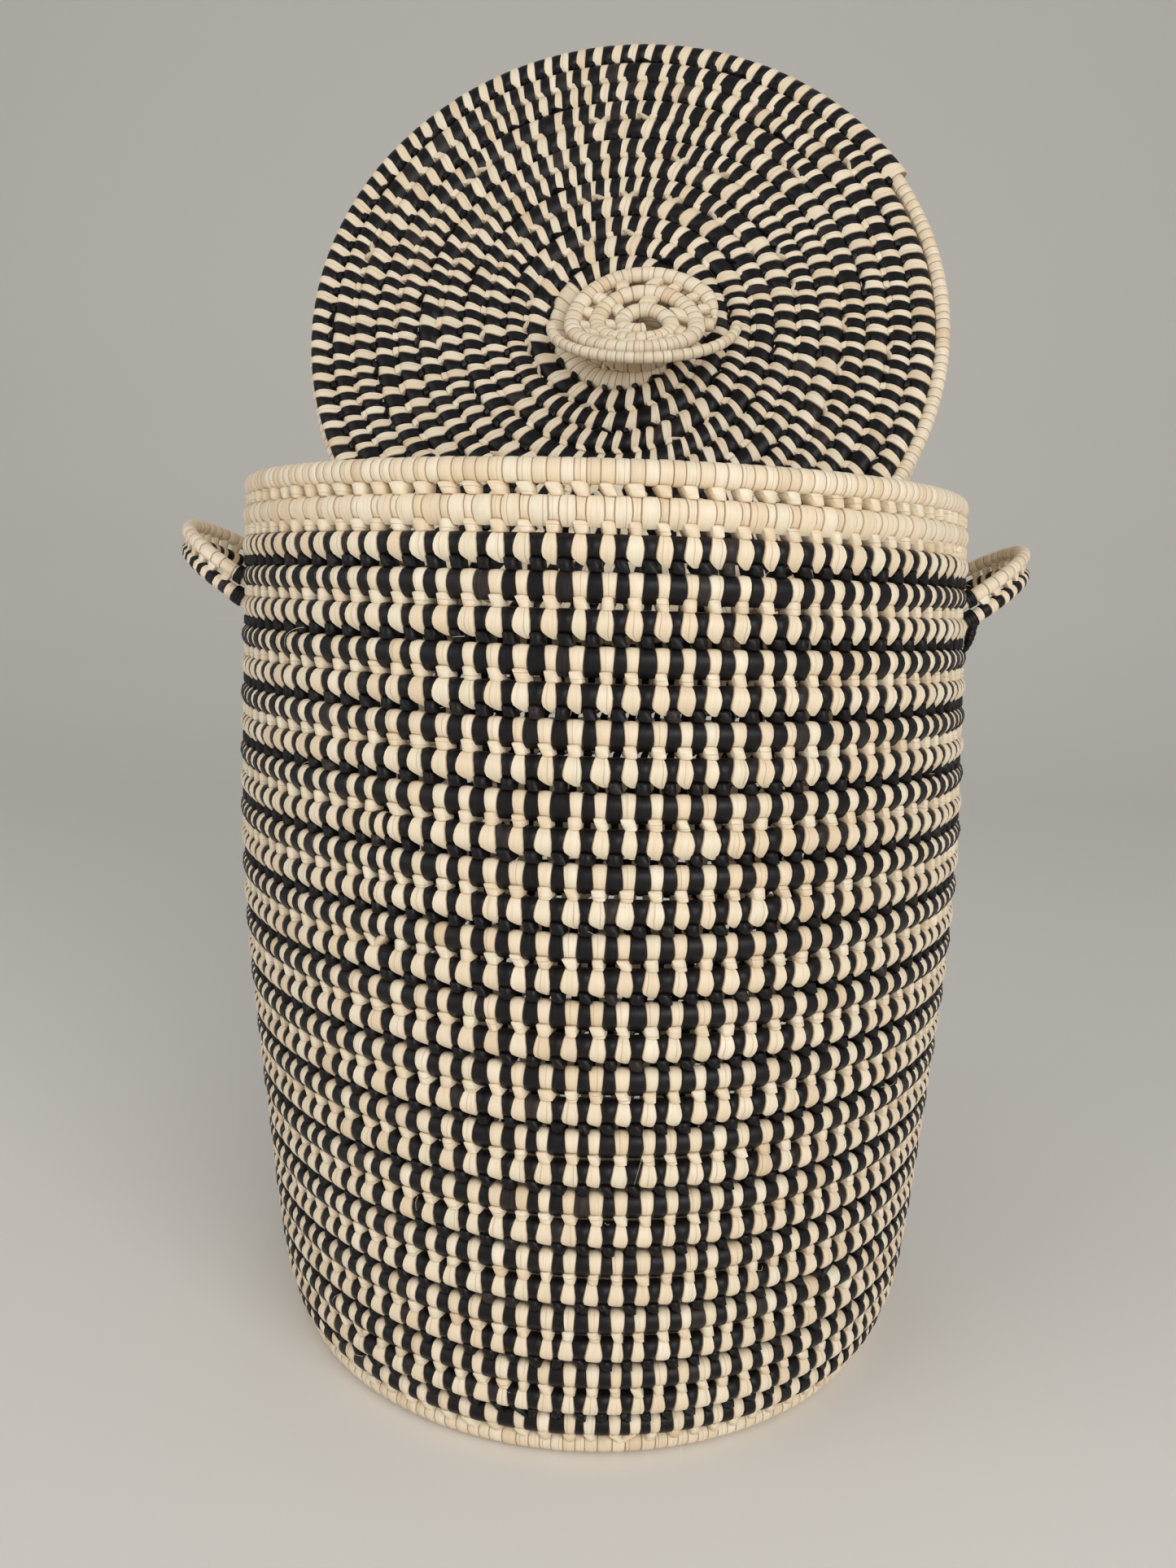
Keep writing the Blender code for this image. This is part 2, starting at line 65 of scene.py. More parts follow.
# Angles round the coil's section at which a strip has its points: 0 faces out, 90 the next turn
SECTION_ANGLES = (-150, -116, -90, -70, -48, -22, 5, 30, 50, 66, 82, 98, 122, 160)

# Edges of a strip at angles of the section, in half pairs from the middle of its column
LEAF_LEFT = (
    (-150, -0.50), (-88, -0.34), (-48, -0.50), (5, -0.67), (38, -0.72), (54, -0.62), (66, -0.36), (82, 0.04),
    (98, 0.38), (160, -0.5),
)
LEAF_RIGHT = ((-150, 0.50), (-88, 0.32), (-48, 0.48), (5, 0.60), (50, 0.56), (98, 0.46), (160, 0.50))
NECK_LEFT = ((-150, -0.50), (-70, -0.55), (-22, -0.50), (30, -0.43), (98, -0.40), (160, -0.50))
NECK_RIGHT = ((-150, 0.50), (-70, 0.55), (-22, 0.50), (30, 0.44), (98, 0.40), (160, 0.50))
PINCH_LEFT = ((-150, -0.50), (-85, -0.42), (-22, -0.30), (30, -0.27), (98, -0.42), (160, -0.50))
PINCH_RIGHT = ((-150, 0.50), (-85, 0.42), (-22, 0.32), (30, 0.30), (98, 0.42), (160, 0.50))
WRAP_LEFT = ((0, -0.50),)
WRAP_RIGHT = ((0, 0.50),)

# Rows of the weave: edges of its natural strips
WRAP_ROW, LEAF_ROW, NECK_ROW, PINCH_ROW = range(4)
ROW_EDGES = (
    (WRAP_LEFT, WRAP_RIGHT),
    (LEAF_LEFT, LEAF_RIGHT),
    (NECK_LEFT, NECK_RIGHT),
    (PINCH_LEFT, PINCH_RIGHT),
)

# Stitches of one colour in each turn of the wall, at some turns from the rim
WALL_PAIRS = ((0, 119), (3, 115), (7, 117), (13, 121), (16, 119), (21, 109), (26, 106), (31, 96))

# Knots under each kind of row, in half pairs: half width at the top and at the foot, how far both
# are moved along, and how far the whole knot stands beside its column
KNOT_PLACES = {
    WRAP_ROW: (0.66, 0.44, -0.20, 0.18, 0.0),
    LEAF_ROW: (0.50, 0.46, -0.12, 0.12, 1.02),
    NECK_ROW: (0.55, 0.46, -0.12, 0.12, 0.0),
    PINCH_ROW: (0.55, 0.46, -0.12, 0.12, 0.0),
}
KNOT_REACH = 1.3

# The fewest pairs in a turn, near the middle of a coil
FEWEST_PAIRS = 4

# Share of a strip's width in which it drops to its edge, and of a leaf's drop that its groove has
MARGIN = 0.08
GROOVE_DROP = 0.85

# A tapered end: its height, and the part of its depth that stays
END_HEIGHT = 0.12
END_DEPTH = 0.35

# Half the width of a strip and of a knot on the leaf that they are cut from
STRIP_ON_LEAF = 0.003
KNOT_ON_LEAF = 0.004

# Lengths of coil that the wall and the striped rounds of the lid are cut into
WALL_LENGTHS = 6
LID_LENGTHS = 3

# The two leaves, and the leaf of every natural strip and of the strip after it
NATURAL, BLACK = range(2)
PLAIN, STRIPED, DARK = (NATURAL, NATURAL), (NATURAL, BLACK), (BLACK, BLACK)

# Seeds of the random draws: columns of the wall, columns of the lid, skirt, knob, handles, fibres
WALL_SEED, LID_SEED, SKIRT_SEED, KNOB_SEED, HANDLE_SEED, FIBRE_SEED = 11, 21, 31, 41, 51, 61

# Seeds of the first length of coil of the wall, the base and the lid, the next lengths counting on
WALL_BAND_SEED, BASE_BAND_SEED, LID_BAND_SEED = 100, 200, 300

# Degrees between faces from which an edge is sharp, on a wrapped coil and on a knot
STRIP_SHARP, KNOT_SHARP = 38, 50

ROUND_VALUES = 7

# A knot's height and depth, how far before the coil's middle it is, the step that it bridges and
# how much wider it is inside
KnotForm = namedtuple("KnotForm", "height depth out gap widening")


def length_prop(name, description, default):
    """A length in metres."""
    return FloatProperty(name=name, description=description, default=default, unit="LENGTH")


def angle_prop(name, description, degrees):
    """An angle, written in degrees."""
    return FloatProperty(name=name, description=description, default=math.radians(degrees), subtype="ANGLE")


def number_prop(name, description, default):
    """A share, a power or a number of turns."""
    return FloatProperty(name=name, description=description, default=default)


def count_prop(name, description, default):
    """A whole number."""
    return IntProperty(name=name, description=description, default=default)


def colour_prop(name, description, default):
    """A colour."""
    return FloatVectorProperty(name=name, description=description, default=default, subtype="COLOR", size=3)


class BasketSizes(bpy.types.PropertyGroup):
    """Form of the wall and of the base, as the solids have it."""

    height: length_prop("Height", "Floor to the top of the rim", 0.508)
    belly: length_prop("Belly", "Radius at the belly", 0.2163)
    belly_depth: length_prop("Belly depth", "Belly below the rim", 0.220)
    mouth_narrowing: length_prop("Mouth", "How much narrower the mouth is", 0.0063)
    shoulder_narrowing: length_prop("Shoulder", "How much narrower the shoulder is", 0.0036)
    shoulder_depth: length_prop("Shoulder depth", "Shoulder below the rim", 0.060)
    lower_narrowing: length_prop("Lower wall", "How much narrower the lower wall is", 0.0118)
    lower_rise: length_prop("Lower wall rise", "Lower wall above the bend", 0.1053)
    ankle_narrowing: length_prop("Ankle", "How much narrower the ankle is", 0.0203)
    ankle_rise: length_prop("Ankle rise", "Ankle above the bend", 0.0270)
    heel_narrowing: length_prop("Heel", "How much narrower the heel is", 0.0293)
    foot_bend: length_prop("Foot bend", "Radius of the foot", 0.006)
    start_angle: angle_prop("Start", "Where the coil begins", 160)
    pitch: length_prop("Pitch", "From one turn to the next", 0.0164)
    coil_height: length_prop("Coil height", "Height of the coil", 0.0124)
    coil_depth: length_prop("Coil depth", "Coil across the wall", 0.0110)
    hole: length_prop("Hole", "Hole in the base", 0.0090)
    rim_turns: count_prop("Rim turns", "Natural turns at the rim", 2)
    foot_turns: count_prop("Foot turns", "Natural turns at the foot", 1)
    base_pair: length_prop("Base pair", "Two wraps in the base", 0.0122)
    base_share: number_prop("Base share", "Outer turns in all turns of the base", 0.36)


class WeaveSizes(bpy.types.PropertyGroup):
    """Strips and knots of the sewing."""

    wrapped_height: length_prop("Wrapped height", "Height of the wrapped coil", 0.0112)
    wrapped_depth: length_prop("Wrapped depth", "Wrapped coil across the wall", 0.0104)
    groove: length_prop("Groove", "Depth between strips", 0.00022)
    leaf_rise: length_prop("Leaf rise", "Leaf over its neighbours", 0.00055)
    strip_rise: length_prop("Strip rise", "Strip over the groove", 0.00012)
    crown: length_prop("Crown", "Crown of a strip", 0.00016)
    leaf_drop: length_prop("Leaf drop", "Tip of a leaf in the gap", 0.0020)
    knot_height: length_prop("Knot height", "Height of a knot", 0.0066)
    knot_depth: length_prop("Knot depth", "Knot across the wall", 0.0090)
    knot_out: length_prop("Knot out", "Knot before the coil's middle", 0.0001)
    knot_inner: number_prop("Knot inner", "How much wider knots are inside", 0.60)
    rim_taper: number_prop("Rim taper", "Turns in which the rim's end thins", 0.10)
    fibres: count_prop("Fibres", "Loose fibres on the wall", 90)


class LidSizes(bpy.types.PropertyGroup):
    """Form of the lid, as the solids have it, and where it stands."""

    radius: length_prop("Radius", "Outer radius", 0.2172)
    pitch: length_prop("Pitch", "From one round to the next", 0.0150)
    thickness: length_prop("Thickness", "Thickness of the disc", 0.0110)
    hole: length_prop("Hole", "Hole in the middle", 0.0006)
    middle: length_prop("Middle", "Radius of the natural middle", 0.0480)
    end_angle: angle_prop("End", "Where the striped rounds end", 31)
    skirt_thickness: length_prop("Skirt thickness", "Thickness of the skirt", 0.0065)
    skirt_depth: length_prop("Skirt depth", "Skirt with its wraps, from outside in", 0.0100)
    skirt_pitch: length_prop("Skirt pitch", "Between its turns", 0.0130)
    skirt_turns: number_prop("Skirt turns", "Turns of the skirt", 2.3)
    lean: angle_prop("Lean", "Leans back", 19.4)
    turned: angle_prop("Turned", "Turned aside", -4.3)
    centre: FloatVectorProperty(
        name="Centre", description="Middle of the disc", default=(0.00937, 0.10721, 0.62200), subtype="XYZ"
    )
    seam: length_prop("Seam", "Half the gap between rounds", 0.0006)
    pair_length: length_prop("Pair length", "A natural and a black strip together", 0.0121)
    striped_end: number_prop("Striped end", "Striped part of the middle, in turns", 0.30)
    natural_share: number_prop("Natural share", "Width of natural strips", 0.86)
    slant: number_prop("Slant", "How far strips lean along the coil, in half pairs", 0.26)
    knot_height: length_prop("Knot height", "Height of a knot", 0.0046)
    knot_depth: length_prop("Knot depth", "Knot through the lid", 0.0094)
    knot_out: length_prop("Knot out", "Knot before the middle", 0.0004)


class KnobSizes(bpy.types.PropertyGroup):
    """Form of the knob, as the solids have it, in the lid's own plane."""

    aside: length_prop("Aside", "Beside the lid's middle", 0.0100)
    neck_foot: length_prop("Neck foot", "Radius of the foot", 0.0400)
    neck_top: length_prop("Neck top", "Radius of the top", 0.0310)
    neck_wall: length_prop("Neck wall", "Thickness of the neck", 0.0090)
    neck_pairs: count_prop("Neck pairs", "Pairs of wraps round the neck", 12)
    cap_height: length_prop("Cap height", "Cap over the lid", 0.0190)
    below: length_prop("Cap below", "Cap below the neck", 0.0130)
    half_length: length_prop("Half length", "Half the length", 0.0614)
    half_width: length_prop("Half width", "Half the width", 0.0497)
    cap_pitch: length_prop("Cap pitch", "Between its rounds", 0.0134)
    cap_knot: length_prop("Cap knot", "Height of its knots", 0.0056)
    cap_aside: length_prop("Cap aside", "Middle of its coil beside the knob's", 0.0036)
    crest_aside: length_prop("Crest aside", "Middle of the crest beside the knob's", 0.0055)
    cap_window: length_prop("Cap window", "Gap between its rounds", 0.0044)
    cap_thickness: length_prop("Cap thickness", "Thickness of the cap", 0.0096)
    cap_hole: length_prop("Cap hole", "Radius of its hole", 0.0046)
    bend: angle_prop("Bend", "Lower half bent up", 38)
    bend_softness: length_prop("Bend softness", "Soft bend", 0.0120)
    crest: length_prop("Crest", "Diameter of the crest", 0.0068)
    crest_pair: length_prop("Crest pair", "Two wraps", 0.0120)
    pair_length: length_prop("Pair length", "Two wraps of the cap", 0.0128)


class HandleSizes(bpy.types.PropertyGroup):
    """Form of the handles, as the solids have it, and their wraps."""

    upper: length_prop("Upper coil", "Diameter with its wraps", 0.0076)
    lower: length_prop("Lower coil", "Diameter with its wraps", 0.0078)
    half_span: length_prop("Half span", "Half between the roots", 0.065)
    reach: length_prop("Reach", "How far it stands off", 0.045)
    rise_left: length_prop("Left rise", "Rise of the left one", 0.0285)
    rise_right: length_prop("Right rise", "Rise of the right one", 0.029)
    root_radius: length_prop("Root radius", "Shoulder radius", 0.2127)
    root_out: length_prop("Root out", "Roots before the coil", 0.0055)
    upper_course: count_prop("Upper course", "Course of the upper roots", 4)
    lower_course: count_prop("Lower course", "Course of the lower roots", 5)
    lower_lift: length_prop("Lower lift", "Lower roots over it", 0.0046)
    buried: angle_prop("Buried", "How far the bow runs on into the wall", 9)
    pair_length: length_prop("Pair length", "Two wraps", 0.0094)
    bare: length_prop("Bare", "Ends without knots", 0.0150)
    knot_pitch: length_prop("Knot pitch", "Between knots", 0.0094)
    knot_width: length_prop("Knot width", "Width of a knot", 0.0070)
    binding: length_prop("Binding", "Black strips round the lower roots", 0.0060)
    binding_upper: length_prop("Upper binding", "Black strips round the upper roots", 0.0046)
    binding_from: length_prop("Binding from", "From the coil's end", 0.0058)
    binding_pair: length_prop("Binding pair", "Two of its turns", 0.0062)
    binding_rise: length_prop("Binding rise", "Over the coil", 0.0011)


class LeafColours(bpy.types.PropertyGroup):
    """Colours of the palm leaf, and of the painted shade between its strips."""

    pale: colour_prop("Pale", "Palest natural leaf", (0.94, 0.835, 0.66))
    straw: colour_prop("Straw", "Deepest natural leaf", (0.81, 0.645, 0.435))
    tan: colour_prop("Tan", "Browned natural leaf", (0.54, 0.34, 0.17))
    green: colour_prop("Green", "Cool natural leaf", (0.83, 0.79, 0.60))
    # Shade: painted shade in the grooves between strips, at the ends of knots and along folds; it also
    # darkens the fine fibre streaks
    shade: colour_prop("Shade", "Between strips", (0.20, 0.10, 0.035))
    black: colour_prop("Black", "Dyed leaf", (0.0052, 0.0042, 0.0048))
    faded: colour_prop("Faded", "Faded dyed leaf", (0.060, 0.045, 0.038))


class StudioSettings(bpy.types.PropertyGroup):
    """Floor, light and camera."""

    floor: colour_prop("Floor", "Floor and backdrop", (0.88, 0.85, 0.80))
    key: number_prop("Key", "Power of the large lamp", 29.0)
    fill: number_prop("Fill", "Power of the lamp on the left", 14.0)
    sky: number_prop("Sky", "Strength of the world", 0.36)


class Wall:
    """The coil from the rim to the middle of the base, as a surface that points are put on."""

    SAMPLES = 480

    def __init__(self, sizes):
        self.pitch = sizes.pitch
        self.start_angle = sizes.start_angle
        top = sizes.height - sizes.coil_height / 2
        floor = sizes.coil_depth / 2
        start = top - floor - sizes.foot_bend
        knots = (
            (0.0, sizes.belly - sizes.mouth_narrowing),
            (sizes.shoulder_depth, sizes.belly - sizes.shoulder_narrowing),
            (sizes.belly_depth, sizes.belly),
            (start - sizes.lower_rise, sizes.belly - sizes.lower_narrowing),
            (start - sizes.ankle_rise, sizes.belly - sizes.ankle_narrowing),
            (start, sizes.belly - sizes.heel_narrowing),
        )
        depths = np.linspace(0, start, self.SAMPLES + 1)
        radii = smooth_curve(depths, knots) - sizes.coil_depth / 2
        heights = top - depths
        lean = math.atan2(radii[-2] - radii[-1], heights[-2] - heights[-1])
        bend = sizes.foot_bend / (1 - math.sin(lean))
        angles = np.linspace(lean, math.pi / 2, self.SAMPLES + 1)[1:]
        bent_in = radii[-1] - bend * (math.cos(lean) - np.cos(angles))
        bent_down = heights[-1] - bend * (np.sin(angles) - math.sin(lean))
        flat = np.linspace(bent_in[-1], 0, self.SAMPLES + 1)[1:]
        self.radii = np.concatenate([radii, bent_in, flat])
        self.heights = np.concatenate([heights, bent_down, np.full(self.SAMPLES, bent_down[-1])])
        steps = np.hypot(np.diff(self.radii), np.diff(self.heights))
        self.lengths = np.concatenate([[0.0], np.cumsum(steps)])
        self.inward = np.gradient(self.radii, self.lengths)
        self.downward = np.gradient(self.heights, self.lengths)
        self.flat_turn = math.ceil(self.lengths[2 * self.SAMPLES] / self.pitch)
        self.last_turn = (self.lengths[-1] - sizes.hole) / self.pitch

    def girth(self, turn):
        """Metres round one turn."""
        return TURN * np.interp(turn * self.pitch, self.lengths, self.radii)

    def place(self, turn, down, out):
        """Points at some turns along the coil, metres on to the next turn and metres out."""
        along = turn * self.pitch + down
        length = np.clip(along, 0.0, None)
        above = np.minimum(along, 0.0)
        angle = self.start_angle + TURN * turn
        way_in = np.interp(length, self.lengths, self.inward)
        way_down = np.interp(length, self.lengths, self.downward)
        radius = np.interp(length, self.lengths, self.radii) - out * way_down + above * way_in
        height = np.interp(length, self.lengths, self.heights) + out * way_in + above * way_down
        height = np.maximum(height, 0.0)
        return np.stack([radius * np.cos(angle), radius * np.sin(angle), height], axis=-1)


class Disc:
    """The flat coil of the lid, counted from the skirt inwards."""

    def __init__(self, sizes):
        self.pitch = sizes.pitch
        self.radius = sizes.radius - sizes.skirt_thickness / 2
        self.start = sizes.end_angle
        self.last_turn = (self.radius - sizes.hole) / self.pitch
        self.matrix = lid_matrix(sizes)

    def girth(self, turn):
        """Metres round one turn."""
        return TURN * (self.radius - turn * self.pitch)

    def place(self, turn, down, out):
        """Points at some turns inwards, metres on to the next turn and metres out of the lid."""
        angle = self.start + TURN * turn
        radius = self.radius - turn * self.pitch - down
        local = np.stack([radius * np.cos(angle), radius * np.sin(angle), out + 0 * radius], axis=-1)
        return moved(local, self.matrix)


class Skirt:
    """The turns that wind down from the edge of the lid to its inner side."""

    def __init__(self, sizes):
        self.pitch = sizes.skirt_pitch
        self.radius = sizes.radius - sizes.skirt_depth / 2
        self.start = sizes.end_angle
        self.matrix = lid_matrix(sizes)

    def place(self, turn, down, out):
        """Points at some turns down the edge, metres on to the next turn and metres out."""
        angle = self.start - TURN * turn
        radius = self.radius + out
        local = np.stack([radius * np.cos(angle), radius * np.sin(angle), -turn * self.pitch - down], axis=-1)
        return moved(local, self.matrix)


class Line:
    """A thin coil along a bent line. Its places are metres from its start."""

    def __init__(self, points, ups):
        self.points = np.array(points, dtype=float)
        steps = np.linalg.norm(np.diff(self.points, axis=0), axis=1)
        self.lengths = np.concatenate([[0.0], np.cumsum(steps)])
        self.last_turn = self.lengths[-1]
        along = unit(np.gradient(self.points, axis=0))
        self.across = unit(np.cross(along, np.array(ups, dtype=float)))
        self.rise = np.cross(self.across, along)

    def place(self, place, down, out):
        """Points at some metres along the line, metres below it and metres beside it."""
        middle, across, rise = (
            np.stack([np.interp(place, self.lengths, part) for part in values.T], axis=-1)
            for values in (self.points, self.across, self.rise)
        )
        return middle + out[..., None] * across - down[..., None] * rise


class Cap:
    """The oval coil of the knob, wound from its middle out and bent up along its lower half."""

    OVAL_GIRTH = 1.2

    def __init__(self, lid, knob):
        self.knob = knob
        self.matrix = lid_matrix(lid)
        self.last_turn = (knob.half_width - knob.cap_pitch / 2 - knob.cap_hole) / knob.cap_pitch

    def girth(self, turn):
        """Metres round one turn."""
        return TURN * (self.knob.cap_hole + self.knob.cap_pitch * turn) * self.OVAL_GIRTH

    def point(self, angle, radius, out, aside):
        """A point of the cap in the lid's own plane."""
        knob = self.knob
        across = radius * np.sin(angle)
        across = np.where(across < 0, across * math.cos(knob.bend), across)
        spread = np.hypot(across, knob.bend_softness)
        lift = math.tan(knob.bend) * (spread - across) / 2
        slope = math.tan(knob.bend) * (across / spread - 1) / 2
        steep = np.hypot(1.0, slope)
        along = knob.aside + aside + knob.half_length / knob.half_width * radius * np.cos(angle)
        return np.stack(
            [along, across - knob.below - out * slope / steep, knob.cap_height + lift + out / steep], axis=-1
        )

    def place(self, turn, down, out):
        """Points at some turns outwards, metres on to the next turn and metres out of the cap."""
        radius = self.knob.cap_hole + self.knob.cap_pitch * turn + down
        local = self.point(TURN * (self.last_turn - turn), radius, out, self.knob.cap_aside)
        return moved(local, self.matrix)


class Neck:
    """The flared foot of the knob, with its top against the underside of the cap."""

    HALF = 0.005
    FLARE = 0.55

    def __init__(self, lid, knob):
        self.knob = knob
        self.foot = lid.thickness / 2
        self.matrix = lid_matrix(lid)

    def place(self, turn, down, out):
        """Points at a share of the way round, metres towards the lid and metres out."""
        knob = self.knob
        angle = math.pi / 2 - TURN * turn
        share = np.clip(0.5 - down / (2 * self.HALF), 0.0, 1.0)
        flared = (knob.neck_top - knob.neck_foot) * share**self.FLARE
        radius = knob.neck_foot + flared - knob.neck_wall / 2 + out
        across = radius * np.sin(angle)
        offset = across + knob.below
        spread = np.hypot(offset, knob.bend_softness)
        under = knob.cap_height - knob.cap_thickness / 4 + math.tan(knob.bend) * (spread - offset) / 2
        height = self.foot + share * (under - self.foot)
        local = np.stack([knob.aside + radius * np.cos(angle), across, height], axis=-1)
        return moved(local, self.matrix)


def unit(vectors):
    """Vectors of an array, each of length one."""
    return vectors / np.linalg.norm(vectors, axis=-1, keepdims=True)


def lid_matrix(sizes):
    """From the lid's own plane, with its outer face up, to where it stands."""
    turned = Matrix.Rotation(sizes.turned, 4, "Z")
    leaned = Matrix.Rotation(math.pi / 2 - sizes.lean, 4, "X")
    return Matrix.Translation(sizes.centre) @ turned @ leaned


def moved(points, matrix):
    """Points of an array through a matrix."""
    whole = np.array(matrix)
    return points @ whole[:3, :3].T + whole[:3, 3]


def smooth_curve(places, knots):
    """A smooth curve through (place, value) knots, with the slope of its neighbours at each."""
    at = np.array([knot[0] for knot in knots])
    value = np.array([knot[1] for knot in knots])
    before = np.maximum(np.arange(len(at)) - 1, 0)
    after = np.minimum(np.arange(len(at)) + 1, len(at) - 1)
    slope = (value[after] - value[before]) / (at[after] - at[before])
    spot = np.clip(np.searchsorted(at, places) - 1, 0, len(at) - 2)
    width = at[spot + 1] - at[spot]
    t = (places - at[spot]) / width
    rise = t * t * (3 - 2 * t)
    bent = width * (t * (1 - t) ** 2 * slope[spot] - t * t * (1 - t) * slope[spot + 1])
    return value[spot] + rise * (value[spot + 1] - value[spot]) + bent


def round_section(shares):
    """Values at the section's angles from (angle, value) pairs."""
    angles = [pair[0] for pair in shares]
    values = [pair[1] for pair in shares]
    return np.interp(SECTION_ANGLES, angles, values, period=360)


def lay_columns(pairs, last, random):
    """Places of the natural columns in every turn, in turns. Columns carry on from turn to turn."""
    choice, evening_rounds, evening, scatter = 0.5, 3, 0.2, 0.045
    laid = []
    phases = None
    for turn in range(math.ceil(last)):
        count = round(float(pairs(turn)))
        if phases is None:
            phases = (np.arange(count) + 0.5) / count
        while len(phases) < count:
            gaps = np.diff(np.append(phases, phases[0] + 1))
            widest = int(np.argmax(gaps + random.uniform(0, choice / count, len(gaps))))
            phases = np.sort(np.append(phases, (phases[widest] + gaps[widest] / 2) % 1))
        while len(phases) > count:
            gaps = (np.roll(phases, -1) - np.roll(phases, 1)) % 1
            closest = int(np.argmin(gaps + random.uniform(0, choice / count, len(gaps))))
            phases = np.delete(phases, closest)
        for _ in range(evening_rounds):
            ahead = np.roll(phases, -1) - phases
            behind = phases - np.roll(phases, 1)
            ahead[-1] += 1
            behind[0] += 1
            phases = phases + evening * (ahead - behind)
        phases = phases + random.normal(0, scatter / count, count)
        phases = np.sort(phases % 1)
        laid.append(turn + phases)
    return laid


def weave_run(columns, rows, first, last, random, hand, colours, share, slant):
    """Strips of a run of coil: their edges in turns, their height, tip and colour."""
    width_scatter, rise_scatter = 0.07, 0.00006
    weave = bpy.context.scene.weave_sizes
    places = np.concatenate(columns)
    kinds = np.concatenate([np.full(len(column), row) for column, row in zip(columns, rows)])
    inside = (places > first) & (places < last)
    places, kinds = places[inside], kinds[inside]
    spread = np.gradient(places) / 2
    lefts = np.array([round_section(left) for left, _ in ROW_EDGES])
    rights = np.array([round_section(right) for _, right in ROW_EDGES])
    near, far = (lefts, rights) if hand > 0 else (-rights, -lefts)
    wide = share * random.normal(1.0, width_scatter, (len(places), 1))
    leant = slant * np.sin(np.radians(SECTION_ANGLES))
    edges = np.empty((2 * len(places) + 1, len(SECTION_ANGLES)))
    edges[0:-1:2] = places[:, None] + spread[:, None] * (near[kinds] * wide + leant)
    edges[1::2] = places[:, None] + spread[:, None] * (far[kinds] * wide + leant)
    edges[0], edges[-1] = first, last
    edges = np.sort(edges, axis=0)
    strips = len(edges) - 1
    row = np.repeat(kinds, 2)
    even = np.arange(strips) % 2 == 0
    is_leaf = ((row == LEAF_ROW) & even) | (((row == NECK_ROW) | (row == PINCH_ROW)) & ~even)
    tip = round_section(((-60, 0.0), (40, 0.0), (66, 0.5), (82, 1.0), (98, 1.0), (122, 0.5), (160, 0.0)))
    front = round_section(((-130, 0.3), (-88, 0.6), (-30, 1.0), (60, 1.0), (110, 0.5), (160, 0.3)))
    rise = np.where(is_leaf[:, None], weave.leaf_rise * front, weave.strip_rise)
    rise = rise + random.normal(0, rise_scatter, (strips, 1))
    drop = np.where(is_leaf[:, None], weave.leaf_drop * tip, 0.0)
    return edges, rise, drop, np.where(even, *colours)


def random_tones(count, random):
    """Lightness, hue and wear of strips, each from 0 to 1."""
    tones = random.uniform(0, 1, (count, 4))
    tones[:, 0] = np.clip(random.normal(0.5, 0.20, count), 0, 1)
    tones[:, 3] = 1
    return tones


def wrapped_coil(
    name, path, half, columns, rows, first, last, random,
    hand=1, colours=PLAIN, share=1.0, slant=0.0, ends=(0.0, 0.0), lean=0.0,
):
    """One closed tube round a run of coil, its surface in strips with a groove at every edge."""
    weave = bpy.context.scene.weave_sizes
    edges, rise, drop, colour = weave_run(columns, rows, first, last, random, hand, colours, share, slant)
    strips, sides = rise.shape
    left, right = edges[:-1], edges[1:]
    margin = MARGIN * (right - left)
    turn = np.empty((4 * strips + 3, sides))
    lift = np.zeros_like(turn)
    fall = np.zeros_like(turn)
    turn[1:-1:4] = edges
    lift[1:-1:4] = -weave.groove
    within = (
        (2, left + margin, rise),
        (3, (left + right) / 2, rise + weave.crown),
        (4, right - margin, rise),
    )
    for step, place, height in within:
        turn[step:-2:4] = place
        lift[step:-2:4] = height
        fall[step:-2:4] = drop
    grooves = fall[5:-2:4]
    grooves[:] = GROOVE_DROP * np.maximum(drop[:-1], drop[1:])[: len(grooves)]
    turn[0], turn[-1] = edges[0].mean(), edges[-1].mean()
    angle = np.radians(SECTION_ANGLES)
    open_row = np.ones((len(turn), 1))
    open_row[[0, -1]] = 0.0
    down = open_row * (half[0] + lift) * np.sin(angle) + fall
    out = open_row * (half[1] + lift) * np.cos(angle)
    size = np.ones_like(turn)
    for taper, past in zip(ends, (turn - turn[0], turn[-1] - turn)):
        if taper:
            size = np.minimum(size, np.clip(past / taper, END_HEIGHT, 1.0))
    down = down * size + (1 - size) * lean
    out = out * (END_DEPTH + (1 - END_DEPTH) * size)
    closed = [np.concatenate([part, part[:, :1]], axis=1) for part in (turn, down, out)]
    mesh = grid_mesh(name, sides, 4 * strips + 2)
    mesh.vertices.foreach_set("co", path.place(*closed).astype(np.float32).ravel())
    strip = np.clip((np.arange(len(mesh.polygons)) // sides - 1) // 4, 0, strips - 1)
    corners = corner_points(mesh)
    corner_row, corner_side = corners // (sides + 1), corners % (sides + 1)
    corner_strip = np.repeat(strip, 4)
    position = np.clip(corner_row - 1 - 4 * corner_strip, 0, 4)
    # Across runs from -1 to 1 over a strip; past the inner margin, on the groove's faces, the natural leaf
    # paints shade
    inner = 1 - 2 * MARGIN
    across = np.array([-1.0, -inner, 0.0, inner, 1.0])[position]
    section = np.append(angle, angle[0] + TURN) * half[0]
    phase = random.uniform(0, 1, strips)[corner_strip]
    leaf_uv = np.stack([across * STRIP_ON_LEAF + phase, section[corner_side] + phase], axis=1)
    dress(mesh, colour[strip], random_tones(strips, random)[strip], leaf_uv, across)
    return smoothed(mesh, STRIP_SHARP, seams=True)


def grid_mesh(name, columns, rows):
    """A sheet of quads, which is then laid round the coil."""
    bm = bmesh.new()
    bmesh.ops.create_grid(bm, x_segments=columns, y_segments=rows, size=1.0)
    return mesh_from(bm, name)


